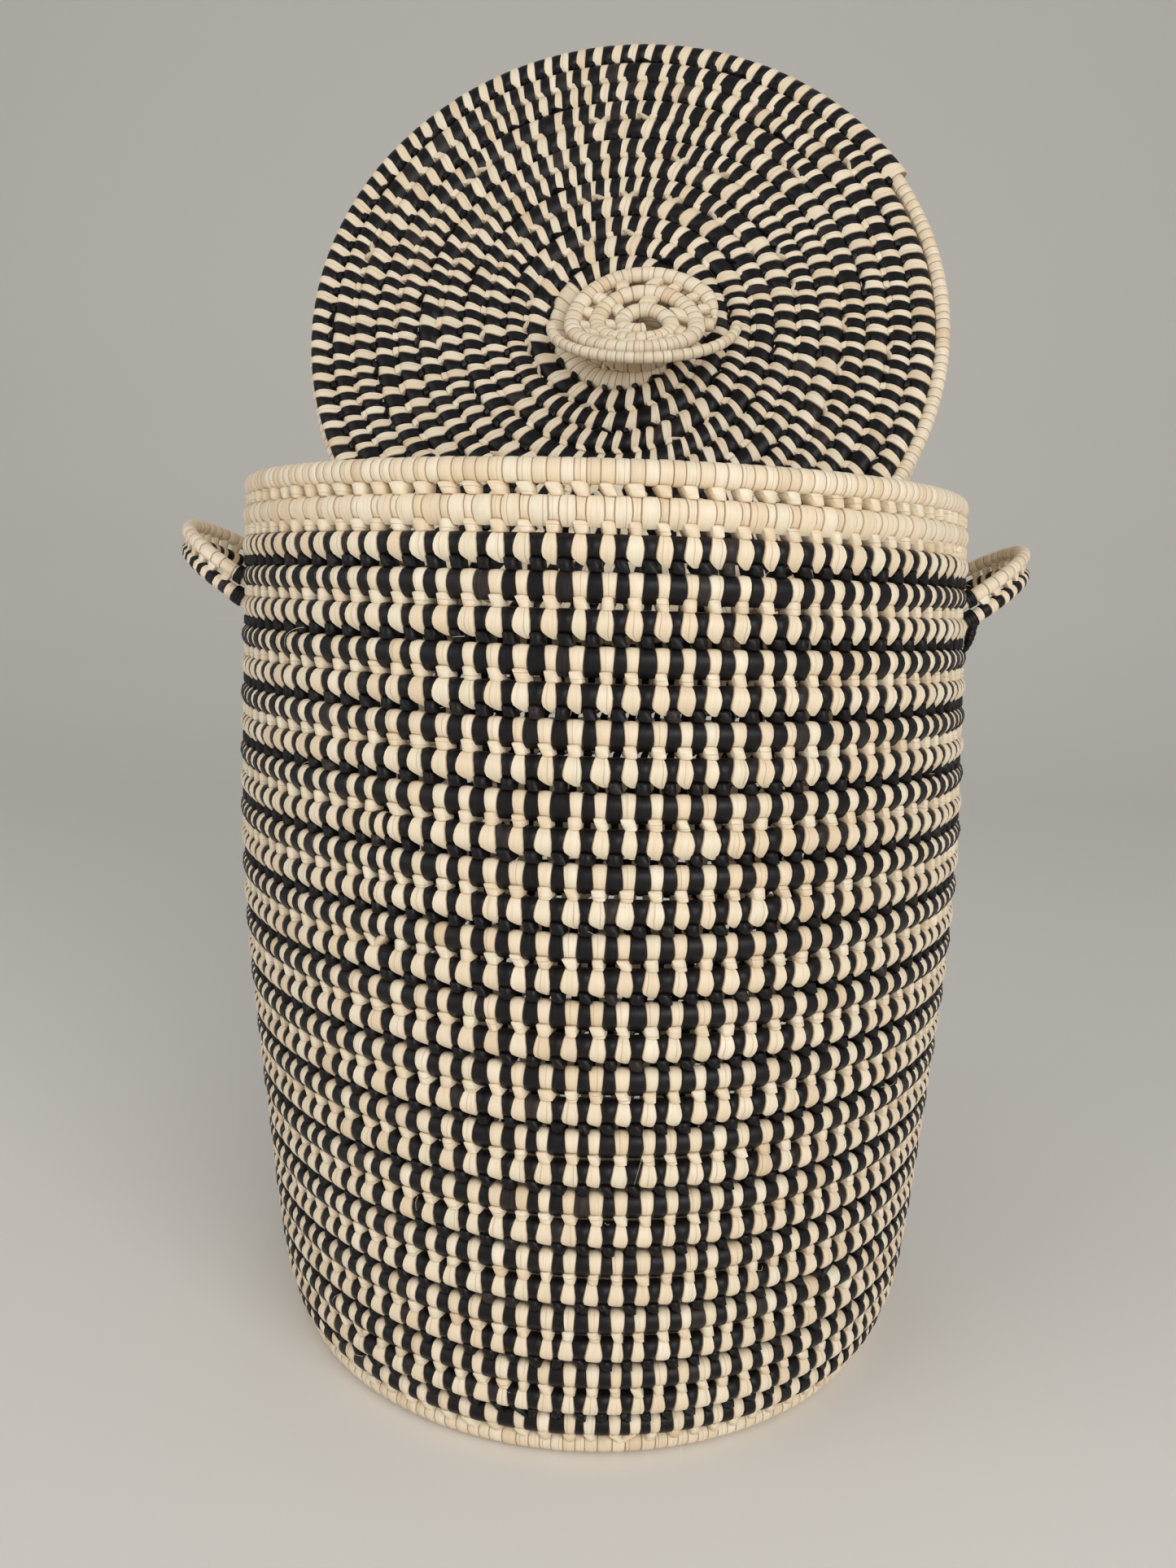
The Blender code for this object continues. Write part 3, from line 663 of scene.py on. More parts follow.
def mesh_from(bm, name):
    """A new mesh from a bmesh."""
    mesh = bpy.data.meshes.new(name)
    bm.to_mesh(mesh)
    bm.free()
    return mesh


def corner_points(mesh):
    """The vertex at every corner of every face."""
    corners = np.empty(len(mesh.loops), np.int32)
    mesh.loops.foreach_get("vertex_index", corners)
    return corners


def dress(mesh, colours, tones, leaf_uv, across):
    """Gives the faces their leaf, their tone and the coordinates that the fibres follow, and the place across
    each strip, by which the natural leaf paints shade into the grooves and at the knots' ends.
    """
    mesh.polygons.foreach_set("material_index", colours.astype(np.int32))
    tone = mesh.attributes.new("tone", "FLOAT_COLOR", "FACE")
    tone.data.foreach_set("color", tones.astype(np.float32).ravel())
    layer = mesh.uv_layers.new(name="leaf")
    layer.data.foreach_set("uv", leaf_uv.astype(np.float32).ravel())
    strip = mesh.attributes.new("across", "FLOAT", "CORNER")
    strip.data.foreach_set("value", across.astype(np.float32))
    for material in leaf_materials():
        mesh.materials.append(material)


def smoothed(mesh, sharp, seams=False):
    """The mesh with its faces outwards and smooth up to a sharp angle, and a sheet's seams closed."""
    bm = bmesh.new()
    bm.from_mesh(mesh)
    if seams:
        bmesh.ops.remove_doubles(bm, verts=[vert for vert in bm.verts if vert.is_boundary], dist=1e-6)
    bmesh.ops.recalc_face_normals(bm, faces=bm.faces[:])
    bm.to_mesh(mesh)
    bm.free()
    mesh.shade_smooth()
    mesh.set_sharp_from_angle(angle=math.radians(sharp))
    return mesh


def knot_template():
    """A small barrel with eight sides, and where each of its points is: across, on, out."""
    flatness, end_power, end_root, squareness, corner = 0.32, 6, 0.25, 3, 0.3
    bm = bmesh.new()
    bmesh.ops.create_uvsphere(bm, u_segments=8, v_segments=5, radius=1.0)
    mesh = mesh_from(bm, "knot")
    points = np.empty(3 * len(mesh.vertices), np.float32)
    mesh.vertices.foreach_get("co", points)
    points = points.reshape(-1, 3).astype(float)
    ring = np.maximum(np.hypot(points[:, 0], points[:, 1]), 1e-9)
    level = np.sign(points[:, 2]) * np.abs(points[:, 2]) ** flatness
    width = np.clip(1 - np.abs(level) ** end_power, 0, 1) ** end_root
    cosine, sine = points[:, 0] / ring, points[:, 1] / ring
    section = np.abs(cosine) ** squareness + np.abs(sine) ** squareness
    squared = np.maximum(section, corner) ** (-1 / squareness)
    return mesh, np.stack([width * squared * cosine, level, width * squared * sine], axis=1)


def knot_meshes(name, path, tops, feet, half_tops, half_feet, colours, form, random):
    """Knots from the strips of one turn to the columns of the next, all in one mesh."""
    bulge, tall_scatter, out_scatter = 0.10, 0.04, 0.0003
    count = len(tops)
    template, shape = knot_template()
    holder = linked(name, template)
    row = holder.modifiers.new("row", "ARRAY")
    row.count = count
    row.use_relative_offset = False
    row.use_constant_offset = True
    row.constant_offset_displace = (3.0, 0.0, 0.0)
    mesh = taken_from(holder)
    bpy.data.meshes.remove(template)
    across, level, front = shape.T
    share = (level + 1) / 2
    middle = tops[:, None] + (feet - tops)[:, None] * share
    half = half_tops[:, None] + (half_feet - half_tops)[:, None] * share
    bulged = 1 + bulge * (1 - level**2)
    widened = 1 + form.widening * np.clip(-front, 0, 1)
    turn = middle + across * half * bulged * widened
    tall = random.normal(1.0, tall_scatter, (count, 1))
    forward = form.out + random.normal(0, out_scatter, (count, 1)) + front * form.depth / 2
    points = path.place(turn, form.gap / 2 + level * form.height / 2 * tall, forward)
    mesh.vertices.foreach_set("co", points.astype(np.float32).ravel())
    knot = np.repeat(np.arange(count), len(mesh.polygons) // count)
    corners = corner_points(mesh)
    which, corner = corners // len(shape), corners % len(shape)
    phase = random.uniform(0, 1, count)[which]
    leaf_uv = np.stack(
        [level[corner] * form.height / 2 + phase, across[corner] * KNOT_ON_LEAF + phase], axis=1
    )
    # The level runs along each knot, so the natural leaf paints shade at both its ends, where the knot meets
    # the coils
    dress(mesh, colours[knot], random_tones(count, random)[knot], leaf_uv, level[corner])
    return smoothed(mesh, KNOT_SHARP)


def linked(name, data):
    """A new object in the scene."""
    obj = bpy.data.objects.new(name, data)
    bpy.context.scene.collection.objects.link(obj)
    return obj


def taken_from(holder):
    """The mesh that an object gives with its modifiers or its bevel, the object then removed."""
    bpy.context.view_layer.update()
    mesh = bpy.data.meshes.new_from_object(holder.evaluated_get(bpy.context.evaluated_depsgraph_get()))
    mesh.name = holder.name
    bpy.data.objects.remove(holder)
    return mesh


def sew(name, path, columns, rows, next_columns, first, last, form, random, hand=1):
    """Knots below every turn: natural below necks and wraps, black below leaves."""
    width_scatter = 0.09
    parts = []
    for place, row, following in zip(columns, rows, next_columns):
        half_top, half_foot, top_along, foot_along, beside = KNOT_PLACES[row]
        spread = np.gradient(place) / 2
        nearest = np.clip(np.searchsorted(following - 1, place), 1, len(following) - 1)
        before = following[nearest - 1] - 1
        after = following[nearest] - 1
        found = np.where(np.abs(before - place) < np.abs(after - place), before, after)
        shift = np.clip(found - place, -KNOT_REACH * spread, KNOT_REACH * spread)
        middle = place + hand * spread * beside
        knots = (
            middle + spread * (top_along * hand),
            middle + shift + hand * foot_along * spread,
            spread * half_top * random.normal(1.0, width_scatter, len(place)),
            spread * half_foot * random.normal(1.0, width_scatter, len(place)),
            np.full(len(place), BLACK if row == LEAF_ROW else NATURAL),
        )
        parts.append(knots)
    parts = [np.concatenate(part) for part in zip(*parts)]
    inside = (parts[0] > first) & (parts[0] < last)
    return knot_meshes(name, path, *(part[inside] for part in parts), form, random)


def leaf_materials():
    """The natural and the black leaf, made once."""
    return natural_leaf(), black_leaf()


def leaf_shader(name, streak_width):
    """A new leaf material with what its colour is made of: the strip's tone and two sizes of fibre."""
    material = bpy.data.materials.new(name)
    material.use_nodes = True
    tree = material.node_tree
    tone = tree.nodes.new("ShaderNodeSeparateColor")
    tree.links.new(attribute(tree, "tone").outputs["Color"], tone.inputs[0])
    streaks = fibre_noise(tree, streak_width, 0.012)
    fine = fibre_noise(tree, 0.00025, 0.02, 1.0)
    return material, tree, tone.outputs, streaks, fine


def finish_leaf(tree, base, streaks, fine, smoothest, roughest, specular):
    """Sets the colour, the satin sheen and the bump of a leaf."""
    shader = tree.nodes["Principled BSDF"]
    tree.links.new(base, shader.inputs["Base Color"])
    tree.links.new(ranged(tree, streaks, 0.3, 0.7, smoothest, roughest), shader.inputs["Roughness"])
    shader.inputs["Specular IOR Level"].default_value = specular
    tree.links.new(bumped(tree, streaks, fine, 0.25), shader.inputs["Normal"])


def math_node(tree, operation, first, second=None, clamp=False):
    """One step of arithmetic on values or sockets."""
    node = tree.nodes.new("ShaderNodeMath")
    node.operation = operation
    node.use_clamp = clamp
    for socket, value in zip(node.inputs, (first, second)):
        if value is None:
            continue
        if isinstance(value, (int, float)):
            socket.default_value = value
        else:
            tree.links.new(value, socket)
    return node.outputs[0]


def mixed(tree, factor, first, second):
    """One colour laid over another."""
    node = tree.nodes.new("ShaderNodeMix")
    node.data_type = "RGBA"
    tree.links.new(factor, node.inputs[0])
    for socket, value in ((node.inputs[6], first), (node.inputs[7], second)):
        if isinstance(value, bpy.types.NodeSocket):
            tree.links.new(value, socket)
        else:
            socket.default_value = (*value, 1.0)
    return node.outputs[2]


def ranged(tree, value, low, high, to_low=0.0, to_high=1.0):
    """A value moved from one range to another."""
    node = tree.nodes.new("ShaderNodeMapRange")
    tree.links.new(value, node.inputs["Value"])
    node.inputs["From Min"].default_value = low
    node.inputs["From Max"].default_value = high
    node.inputs["To Min"].default_value = to_low
    node.inputs["To Max"].default_value = to_high
    return node.outputs[0]


def fibre_noise(tree, across, along, detail=3.0):
    """Noise drawn out along the leaf, with features of these sizes in metres."""
    uv = tree.nodes.new("ShaderNodeUVMap")
    uv.uv_map = "leaf"
    scale = tree.nodes.new("ShaderNodeMapping")
    scale.inputs["Scale"].default_value = (1 / across, 1 / along, 1.0)
    tree.links.new(uv.outputs[0], scale.inputs["Vector"])
    noise = tree.nodes.new("ShaderNodeTexNoise")
    noise.inputs["Scale"].default_value = 1.0
    noise.inputs["Detail"].default_value = detail
    tree.links.new(scale.outputs[0], noise.inputs["Vector"])
    return noise.outputs[0]


def attribute(tree, name):
    """The node that reads one attribute of the mesh."""
    node = tree.nodes.new("ShaderNodeAttribute")
    node.attribute_name = name
    return node


def natural_leaf():
    """Dry natural leaf: cream to straw strips with fine fibres, painted shade in the grooves between strips
    and along some strips' folds.
    """
    found = bpy.data.materials.get("wrapped_natural_leaf")
    if found:
        return found
    colours = bpy.context.scene.leaf_colours
    material, tree, (lightness, hue, wear), streaks, fine = leaf_shader("wrapped_natural_leaf", 0.0007)
    broad = fibre_noise(tree, 0.0022, 0.018, 2.0)
    across = attribute(tree, "across").outputs["Fac"]
    base = mixed(tree, lightness, tuple(colours.straw), tuple(colours.pale))
    # Value, from where to where it tells, how much, and the colour it brings
    tints = (
        (hue, 0.70, 1.0, 0.55, colours.green),
        (hue, 0.20, 0.0, 0.28, colours.tan),
        (broad, 0.42, 0.72, 0.40, colours.straw),
        (streaks, 0.52, 0.74, 0.28, colours.tan),
        (fine, 0.58, 0.85, 0.30, colours.shade),
    )
    for value, low, high, most, colour in tints:
        base = mixed(tree, ranged(tree, value, low, high, 0.0, most), base, tuple(colour))
    # Painted shade along a fold: strips whose wear value passes 0.64 get a thin dark line, at a place across
    # them set by their hue value
    place = math_node(tree, "SUBTRACT", hue, 0.5)
    fold = math_node(tree, "ABSOLUTE", math_node(tree, "SUBTRACT", across, place))
    painted_fold_shade = math_node(tree, "MULTIPLY", ranged(tree, fold, 0.09, 0.02), ranged(tree, wear, 0.62, 0.64))
    base = mixed(tree, math_node(tree, "MULTIPLY", painted_fold_shade, 0.42), base, tuple(colours.shade))
    # Painted shade: each strip darkens towards its edges, down into the groove, standing in for the shade
    # between strips
    edge = math_node(tree, "ABSOLUTE", across)
    base = mixed(tree, ranged(tree, edge, 0.84, 1.0, 0.0, 0.85), base, tuple(colours.shade))
    finish_leaf(tree, base, streaks, fine, 0.42, 0.58, 0.4)
    return material


def black_leaf():
    """Leaf dyed near-black, some strips faded to a brown grey."""
    found = bpy.data.materials.get("wrapped_black_leaf")
    if found:
        return found
    colours = bpy.context.scene.leaf_colours
    material, tree, (_, _, wear), streaks, fine = leaf_shader("wrapped_black_leaf", 0.0008)
    fade = ranged(tree, wear, 0.92, 1.0, 0.0, 0.7)
    worn = math_node(tree, "MULTIPLY", fade, ranged(tree, streaks, 0.3, 0.65, 0.3, 1.0), True)
    base = mixed(tree, worn, tuple(colours.black), tuple(colours.faded))
    base = mixed(tree, ranged(tree, streaks, 0.55, 0.85, 0.0, 0.25), base, tuple(colours.faded))
    finish_leaf(tree, base, streaks, fine, 0.34, 0.5, 0.24)
    return material


def bumped(tree, coarse, fine, strength):
    """A bump from both noises."""
    height = math_node(tree, "ADD", coarse, math_node(tree, "MULTIPLY", fine, 0.5))
    bump = tree.nodes.new("ShaderNodeBump")
    bump.inputs["Strength"].default_value = strength
    bump.inputs["Distance"].default_value = 0.0002
    tree.links.new(height, bump.inputs["Height"])
    return bump.outputs[0]


def put(mesh, body, slot, *nodes):
    """The finished piece: it rides on its body and stands for its solids."""
    obj = linked(mesh.name, mesh)
    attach(obj, body)
    if nodes:
        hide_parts(*nodes)


def wall_plan(scene):
    """The path of the basket's coil, its columns, the kind of each row and the foot's first turn."""
    sizes = scene.basket_sizes
    wall = Wall(sizes)
    turns, counts = zip(*WALL_PAIRS)

    def pairs(turn):
        """Pairs in one turn, fewer where the base narrows."""
        fitting = wall.girth(turn + 0.5) / sizes.base_pair
        return min(np.interp(turn, turns, counts), max(FEWEST_PAIRS, fitting))

    columns = lay_columns(pairs, wall.last_turn + 1, np.random.default_rng(WALL_SEED))
    foot_from = wall.flat_turn - sizes.foot_turns
    rows = []
    for turn in range(len(columns)):
        if turn < 1 or turn >= foot_from:
            rows.append(WRAP_ROW)
        elif turn < sizes.rim_turns:
            rows.append(PINCH_ROW)
        else:
            rows.append(LEAF_ROW if turn % 2 == 0 else NECK_ROW)
    return wall, columns, rows, foot_from


class BASKET_OT_wall(bpy.types.Operator):
    """Wraps the rim, the wall and the foot, and knots every turn to the next."""

    bl_idname = "basket.wall"
    bl_label = "Wall"

    def execute(self, context):
        sizes, weave = context.scene.basket_sizes, context.scene.weave_sizes
        wall, columns, rows, foot_from = wall_plan(context.scene)
        striped_turns = foot_from - sizes.rim_turns
        cuts = [sizes.rim_turns + round(striped_turns * i / WALL_LENGTHS) for i in range(WALL_LENGTHS + 1)]
        bands = [("rim", "rim_coil", 0, sizes.rim_turns, "natural_leaf", PLAIN)]
        for number, (first, last) in enumerate(zip(cuts, cuts[1:]), 1):
            bands.append(("wall_%d" % number, "wall_coil_%d" % number, first, last, "striped_leaf", STRIPED))
        bands.append(("foot", "foot_coil", foot_from, wall.flat_turn, "natural_leaf", PLAIN))
        form = KnotForm(weave.knot_height, weave.knot_depth, weave.knot_out, sizes.pitch, weave.knot_inner)
        half = weave.wrapped_height / 2, weave.wrapped_depth / 2
        for number, (name, node, first, last, slot, colours) in enumerate(bands):
            random = np.random.default_rng(WALL_BAND_SEED + number)
            band = columns[first:last], rows[first:last]
            mesh = wrapped_coil(
                name + "_strips", wall, half, *band, first, last, random, colours=colours,
                ends=(0.0 if first else weave.rim_taper, 0.0), lean=sizes.pitch - half[0],
            )
            put(mesh, "basket", slot, node)
            following = columns[first + 1 : last + 1]
            mesh = sew(name + "_knots", wall, *band, following, first, last, form, random)
            put(mesh, "basket", slot, node)
        return {"FINISHED"}


class BASKET_OT_base(bpy.types.Operator):
    """Wraps the flat spiral that the basket stands on."""

    bl_idname = "basket.base"
    bl_label = "Base"

    def execute(self, context):
        sizes, weave = context.scene.basket_sizes, context.scene.weave_sizes
        wall, columns, rows, _ = wall_plan(context.scene)
        inner = wall.flat_turn + round(sizes.base_share * (wall.last_turn - wall.flat_turn))
        half = (sizes.pitch - 2 * weave.groove) / 2, weave.wrapped_depth / 2
        bands = ("base_outer", wall.flat_turn, inner), ("base_centre", inner, wall.last_turn)
        for number, (name, first, last) in enumerate(bands):
            random = np.random.default_rng(BASE_BAND_SEED + number)
            inside = slice(first, math.ceil(last))
            band = columns[inside], rows[inside]
            mesh = wrapped_coil(name + "_strips", wall, half, *band, first, last, random)
            put(mesh, "basket", "natural_leaf", name + "_coil")
        return {"FINISHED"}


class BASKET_OT_lid(bpy.types.Operator):
    """Wraps the rounds of the lid and the turns of its skirt."""

    bl_idname = "basket.lid"
    bl_label = "Lid"

    def execute(self, context):
        sizes, weave = context.scene.lid_sizes, context.scene.weave_sizes
        disc = Disc(sizes)
        columns = lay_columns(
            lambda turn: max(FEWEST_PAIRS, disc.girth(turn + 0.5) / sizes.pair_length),
            disc.last_turn + 1,
            np.random.default_rng(LID_SEED),
        )
        striped = disc.last_turn - (sizes.middle - sizes.hole) / sizes.pitch
        cuts = [round(striped * i / LID_LENGTHS) for i in range(LID_LENGTHS + 1)]
        rows = [
            (LEAF_ROW, NECK_ROW)[turn % 2] if turn < cuts[-1] else WRAP_ROW for turn in range(len(columns))
        ]
        bands = [
            ("lid_striped_%d" % number, "lid_striped_coil_%d" % number, first, last, STRIPED)
            for number, (first, last) in enumerate(zip(cuts, cuts[1:]), 1)
        ]
        natural_from = cuts[-1] + sizes.striped_end
        bands.append(("lid_striped_end", "lid_centre_coil", cuts[-1], natural_from, STRIPED))
        bands.append(("lid_centre", "lid_centre_coil", natural_from, disc.last_turn, PLAIN))
        half = sizes.pitch / 2 - sizes.seam, sizes.thickness / 2 - weave.groove
        form = KnotForm(sizes.knot_height, sizes.knot_depth, sizes.knot_out, sizes.pitch, 0.0)
        for number, (name, node, first, last, colours) in enumerate(bands):
            random = np.random.default_rng(LID_BAND_SEED + number)
            inside = slice(math.floor(first), math.ceil(last))
            band = columns[inside], rows[inside]
            slot, share = "natural_leaf", 1.0
            if colours == STRIPED:
                slot, share = "striped_leaf", sizes.natural_share
            mesh = wrapped_coil(
                name, disc, half, *band, first, last, random,
                hand=-1, colours=colours, share=share, slant=sizes.slant,
            )
            put(mesh, "lid", slot, node)
            if name == "lid_striped_end":
                continue
            following = columns[inside.start + 1 : inside.stop + 1]
            sewn_to = last - 1 if name == "lid_centre" else last
            mesh = sew(name + "_knots", disc, *band, following, first, sewn_to, form, random, hand=-1)
            put(mesh, "lid", slot, node)
        wrap_skirt(sizes)
        return {"FINISHED"}


def wrap_skirt(sizes):
    """The skirt's turns, thin at their end under the turn before."""
    skirt = Skirt(sizes)
    random = np.random.default_rng(SKIRT_SEED)
    turns = sizes.skirt_turns
    columns = lay_columns(lambda turn: TURN * skirt.radius / sizes.pair_length, turns, random)
    half = sizes.skirt_pitch / 2 - sizes.seam, sizes.skirt_depth / 2
    rows = [WRAP_ROW] * len(columns)
    mesh = wrapped_coil(
        "lid_skirt", skirt, half, columns, rows, 0, turns, random, hand=-1, ends=(0.0, 0.03), lean=-half[0]
    )
    put(mesh, "lid", "natural_leaf", "lid_skirt_coil")


def wrap_line(name, line, radius, pair_length, random, colours=PLAIN, first=0.0, last=None):
    """A thin coil wrapped evenly from one place of its line to another, or to its end."""
    scatter = 0.05
    last = line.last_turn if last is None else last
    count = max(2, round((last - first) / pair_length))
    places = first + (last - first) * (np.arange(count) + 0.5 + random.normal(0, scatter, count)) / count
    return wrapped_coil(
        name, line, (radius, radius), [places], [WRAP_ROW], first, last, random, colours=colours
    )


class BASKET_OT_knob(bpy.types.Operator):
    """Wraps the neck, the oval cap and the crest of the knob."""

    bl_idname = "basket.knob"
    bl_label = "Knob"

    def execute(self, context):
        lid, knob = context.scene.lid_sizes, context.scene.knob_sizes
        random = np.random.default_rng(KNOB_SEED)
        neck = Neck(lid, knob)
        places = (np.arange(knob.neck_pairs) + 0.5) / knob.neck_pairs
        half = neck.HALF, knob.neck_wall / 2
        mesh = wrapped_coil("knob_neck_wraps", neck, half, [places], [WRAP_ROW], 0.0, 1.0, random)
        put(mesh, "lid", "natural_leaf", "knob_neck")
        cap = Cap(lid, knob)
        last = cap.last_turn
        columns = lay_columns(
            lambda turn: max(FEWEST_PAIRS, cap.girth(turn + 0.5) / knob.pair_length), last, random
        )
        half = knob.cap_pitch / 2 - knob.cap_window / 2, knob.cap_thickness / 2
        rows = [WRAP_ROW] * len(columns)
        mesh = wrapped_coil(
            "knob_cap_wraps", cap, half, columns, rows, 0.0, last, random, ends=(0.06, 0.10), lean=-half[0]
        )
        put(mesh, "lid", "natural_leaf", "knob_cap")
        knot_depth, knot_out, sewn_from = knob.cap_thickness * 0.8, 0.0004, 0.1
        form = KnotForm(knob.cap_knot, knot_depth, knot_out, knob.cap_pitch, 0.0)
        rows = [NECK_ROW] * len(columns)
        following = columns[1:] + columns[-1:]
        mesh = sew("knob_cap_knots", cap, columns, rows, following, sewn_from, last - 1, form, random)
        put(mesh, "lid", "natural_leaf", "knob_cap")
        mesh = wrap_line("knob_crest_wraps", crest_line(cap, knob), knob.crest / 2, knob.crest_pair, random)
        put(mesh, "lid", "natural_leaf", "knob_crest")
        return {"FINISHED"}


def crest_line(cap, knob):
    """The line of the crest along the lower edge of the cap, from tip to tip."""
    sunk, forward = 0.1 * knob.crest, 0.0006
    angles = np.linspace(math.pi, TURN, 41)
    local = cap.point(angles, knob.half_width - sunk, np.full(len(angles), forward), knob.crest_aside)
    rotation = np.array(cap.matrix)[:3, :3]
    return Line(moved(local, cap.matrix), np.tile(rotation[:, 2], (len(local), 1)))


class BASKET_OT_handles(bpy.types.Operator):
    """Wraps the coils of both handles, knots them together and binds their roots."""

    bl_idname = "basket.handles"
    bl_label = "Handles"

    def execute(self, context):
        upper_pair = 1.6
        handle = context.scene.handle_sizes
        wall = Wall(context.scene.basket_sizes)
        sides = (-1, "handle_left", handle.rise_left), (1, "handle_right", handle.rise_right)
        for side, name, rise in sides:
            random = np.random.default_rng(HANDLE_SEED + side)
            top, bottom = handle_lines(wall, handle, side, name, rise)
            radius, pair = handle.upper / 2, upper_pair * handle.pair_length
            mesh = wrap_line(name + "_upper_wraps", top, radius, pair, random)
            put(mesh, "basket", "natural_leaf", name + "_upper_coil")
            radius, pair = handle.lower / 2, handle.pair_length
            mesh = wrap_line(name + "_lower_wraps", bottom, radius, pair, random, STRIPED)
            put(mesh, "basket", "striped_leaf", name + "_lower_coil")
            mesh = handle_knots(name + "_knots", top, bottom, handle, random)
            put(mesh, "basket", "natural_leaf", name + "_lower_coil")
            for level, line, thickness, length in (
                ("upper", top, handle.upper, handle.binding_upper),
                ("lower", bottom, handle.lower, handle.binding),
            ):
                radius, start = thickness / 2 + handle.binding_rise, handle.binding_from
                for end, first in (("front", start), ("back", line.last_turn - start - length)):
                    piece = "%s_%s_strip_%s" % (name, level, end)
                    mesh = wrap_line(
                        piece, line, radius, handle.binding_pair, random, DARK, first, first + length
                    )
                    put(mesh, "basket", "black_leaf", "%s_%s_binding_%s" % (name, level, end))
            if side > 0:
                put(tie_strip("handle_right_tie", wall, handle, bottom, random), "basket", "black_leaf")
        return {"FINISHED"}


def handle_lines(wall, handle, side, name, rise):
    """Lines of a handle's two coils, the upper one against the outer edge of its solid."""
    upper = handle_line(wall, handle, side, handle.upper_course, 0.0, rise)
    lower = handle_line(wall, handle, side, handle.lower_course, handle.lower_lift, rise)
    edge = max(abs(corner[0]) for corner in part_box(name + "_upper_coil"))
    shift = np.array((side * (edge - handle.upper / 2 - np.abs(upper[:, 0]).max()), 0.0, 0.0))
    towards = unit(upper - lower)
    return Line(upper + shift, towards), Line(lower + shift, towards)


def tie_strip(name, wall, handle, bottom, random):
    """The black strip that ties the right handle's lower root down to the next turn of the wall."""
    turn = root_turns(wall, handle, 1, handle.lower_course)[0]
    start = bottom.place(np.array([handle.binding_from + handle.binding]), np.zeros(1), np.zeros(1))
    down = np.array((0.0035, 0.0095, 0.0155, 0.0215)) - handle.lower_lift
    out = np.array((0.0088, 0.0074, 0.0058, 0.0030))
    fall = wall.place(np.full(4, turn), down, out)
    angle = wall.start_angle + TURN * turn
    ups = np.tile((math.cos(angle), math.sin(angle), 0.0), (5, 1))
    line = Line(np.concatenate([start, fall]), ups)
    places = np.linspace(0, line.last_turn, 5)[1:-1]
    half, ends = (0.0026, 0.0036), (0.0, 0.012)
    return wrapped_coil(
        name, line, half, [places], [WRAP_ROW], 0.0, line.last_turn, random, colours=DARK, ends=ends
    )


def root_turns(wall, handle, side, course):
    """Where the two ends of a handle coil meet one course of the wall, in turns."""
    foot = math.asin(handle.half_span / handle.root_radius)
    middle = 0.0 if side > 0 else math.pi
    angles = middle - side * foot, middle + side * foot
    return [course - 1 + (angle - wall.start_angle) % TURN / TURN for angle in angles]


def handle_line(wall, handle, side, course, lift, rise):
    """Middle line of one handle coil, a bent loop whose two ends run into one course of the wall."""
    turns = root_turns(wall, handle, side, course)
    roots = wall.place(np.array(turns), np.zeros(2), np.full(2, handle.root_out)) + (0.0, 0.0, lift)
    angles = np.linspace(-handle.buried, math.pi + handle.buried, 61)[:, None]
    base = roots[0] + (roots[1] - roots[0]) * (1 - np.cos(angles)) / 2
    return base + np.sin(angles) * np.array((side * handle.reach, 0.0, rise))


def handle_knots(name, top, bottom, handle, random):
    """Cream knots between the two coils of a handle."""
    scatter, width_scatter, foot_share, hold, depth_share = 0.0004, 0.08, 0.55, 0.0022, 0.6
    first, last = handle.bare, top.last_turn - handle.bare
    count = round((last - first) / handle.knot_pitch)
    places = np.linspace(first, last, count) + random.normal(0, scatter, count)
    apart = np.linalg.norm(top.points - bottom.points, axis=1).max()
    half_tops = np.full(count, handle.knot_width / 2) * random.normal(1, width_scatter, count)
    height = apart - (handle.upper + handle.lower) / 2 + hold
    form = KnotForm(height, handle.upper * depth_share, 0.0, apart, 0.0)
    colours = np.full(count, NATURAL)
    return knot_meshes(name, top, places, places, half_tops, foot_share * half_tops, colours, form, random)


def loose_fibres(name, places, random):
    """Thin curls of leaf that stand off the wall, as one mesh."""
    radius, steps, thinning = 0.00011, 7, 0.6
    short_share, short, long = 0.85, (0.004, 0.013), (0.022, 0.042)
    curl, stand_off, most_sweep, least_sag, most_sag = 1.7, 0.45, 1.0, -0.6, 0.4
    curve = bpy.data.curves.new(name, "CURVE")
    curve.dimensions = "3D"
    curve.bevel_depth = radius
    curve.bevel_resolution = 0
    for start, out, side in places:
        spline = curve.splines.new("POLY")
        spline.points.add(steps)
        length = random.uniform(*short) if random.uniform() < short_share else random.uniform(*long)
        sweep = random.uniform(-most_sweep, most_sweep)
        sag = random.uniform(least_sag, most_sag)
        for i, point in enumerate(spline.points):
            share = i / steps
            away = out * math.sin(share * curl) * stand_off
            way = away + side * sweep * share + Vector((0, 0, 1)) * sag * share**2
            point.co = (*(start + length * way), 1.0)
            point.radius = 1.0 - thinning * share
    mesh = taken_from(linked(name, curve))
    bpy.data.curves.remove(curve)
    mesh.materials.clear()
    faces, loops = len(mesh.polygons), len(mesh.loops)
    dress(mesh, np.zeros(faces), random_tones(faces, random), np.zeros((loops, 2)), np.zeros(loops))
    mesh.shade_smooth()
    return mesh


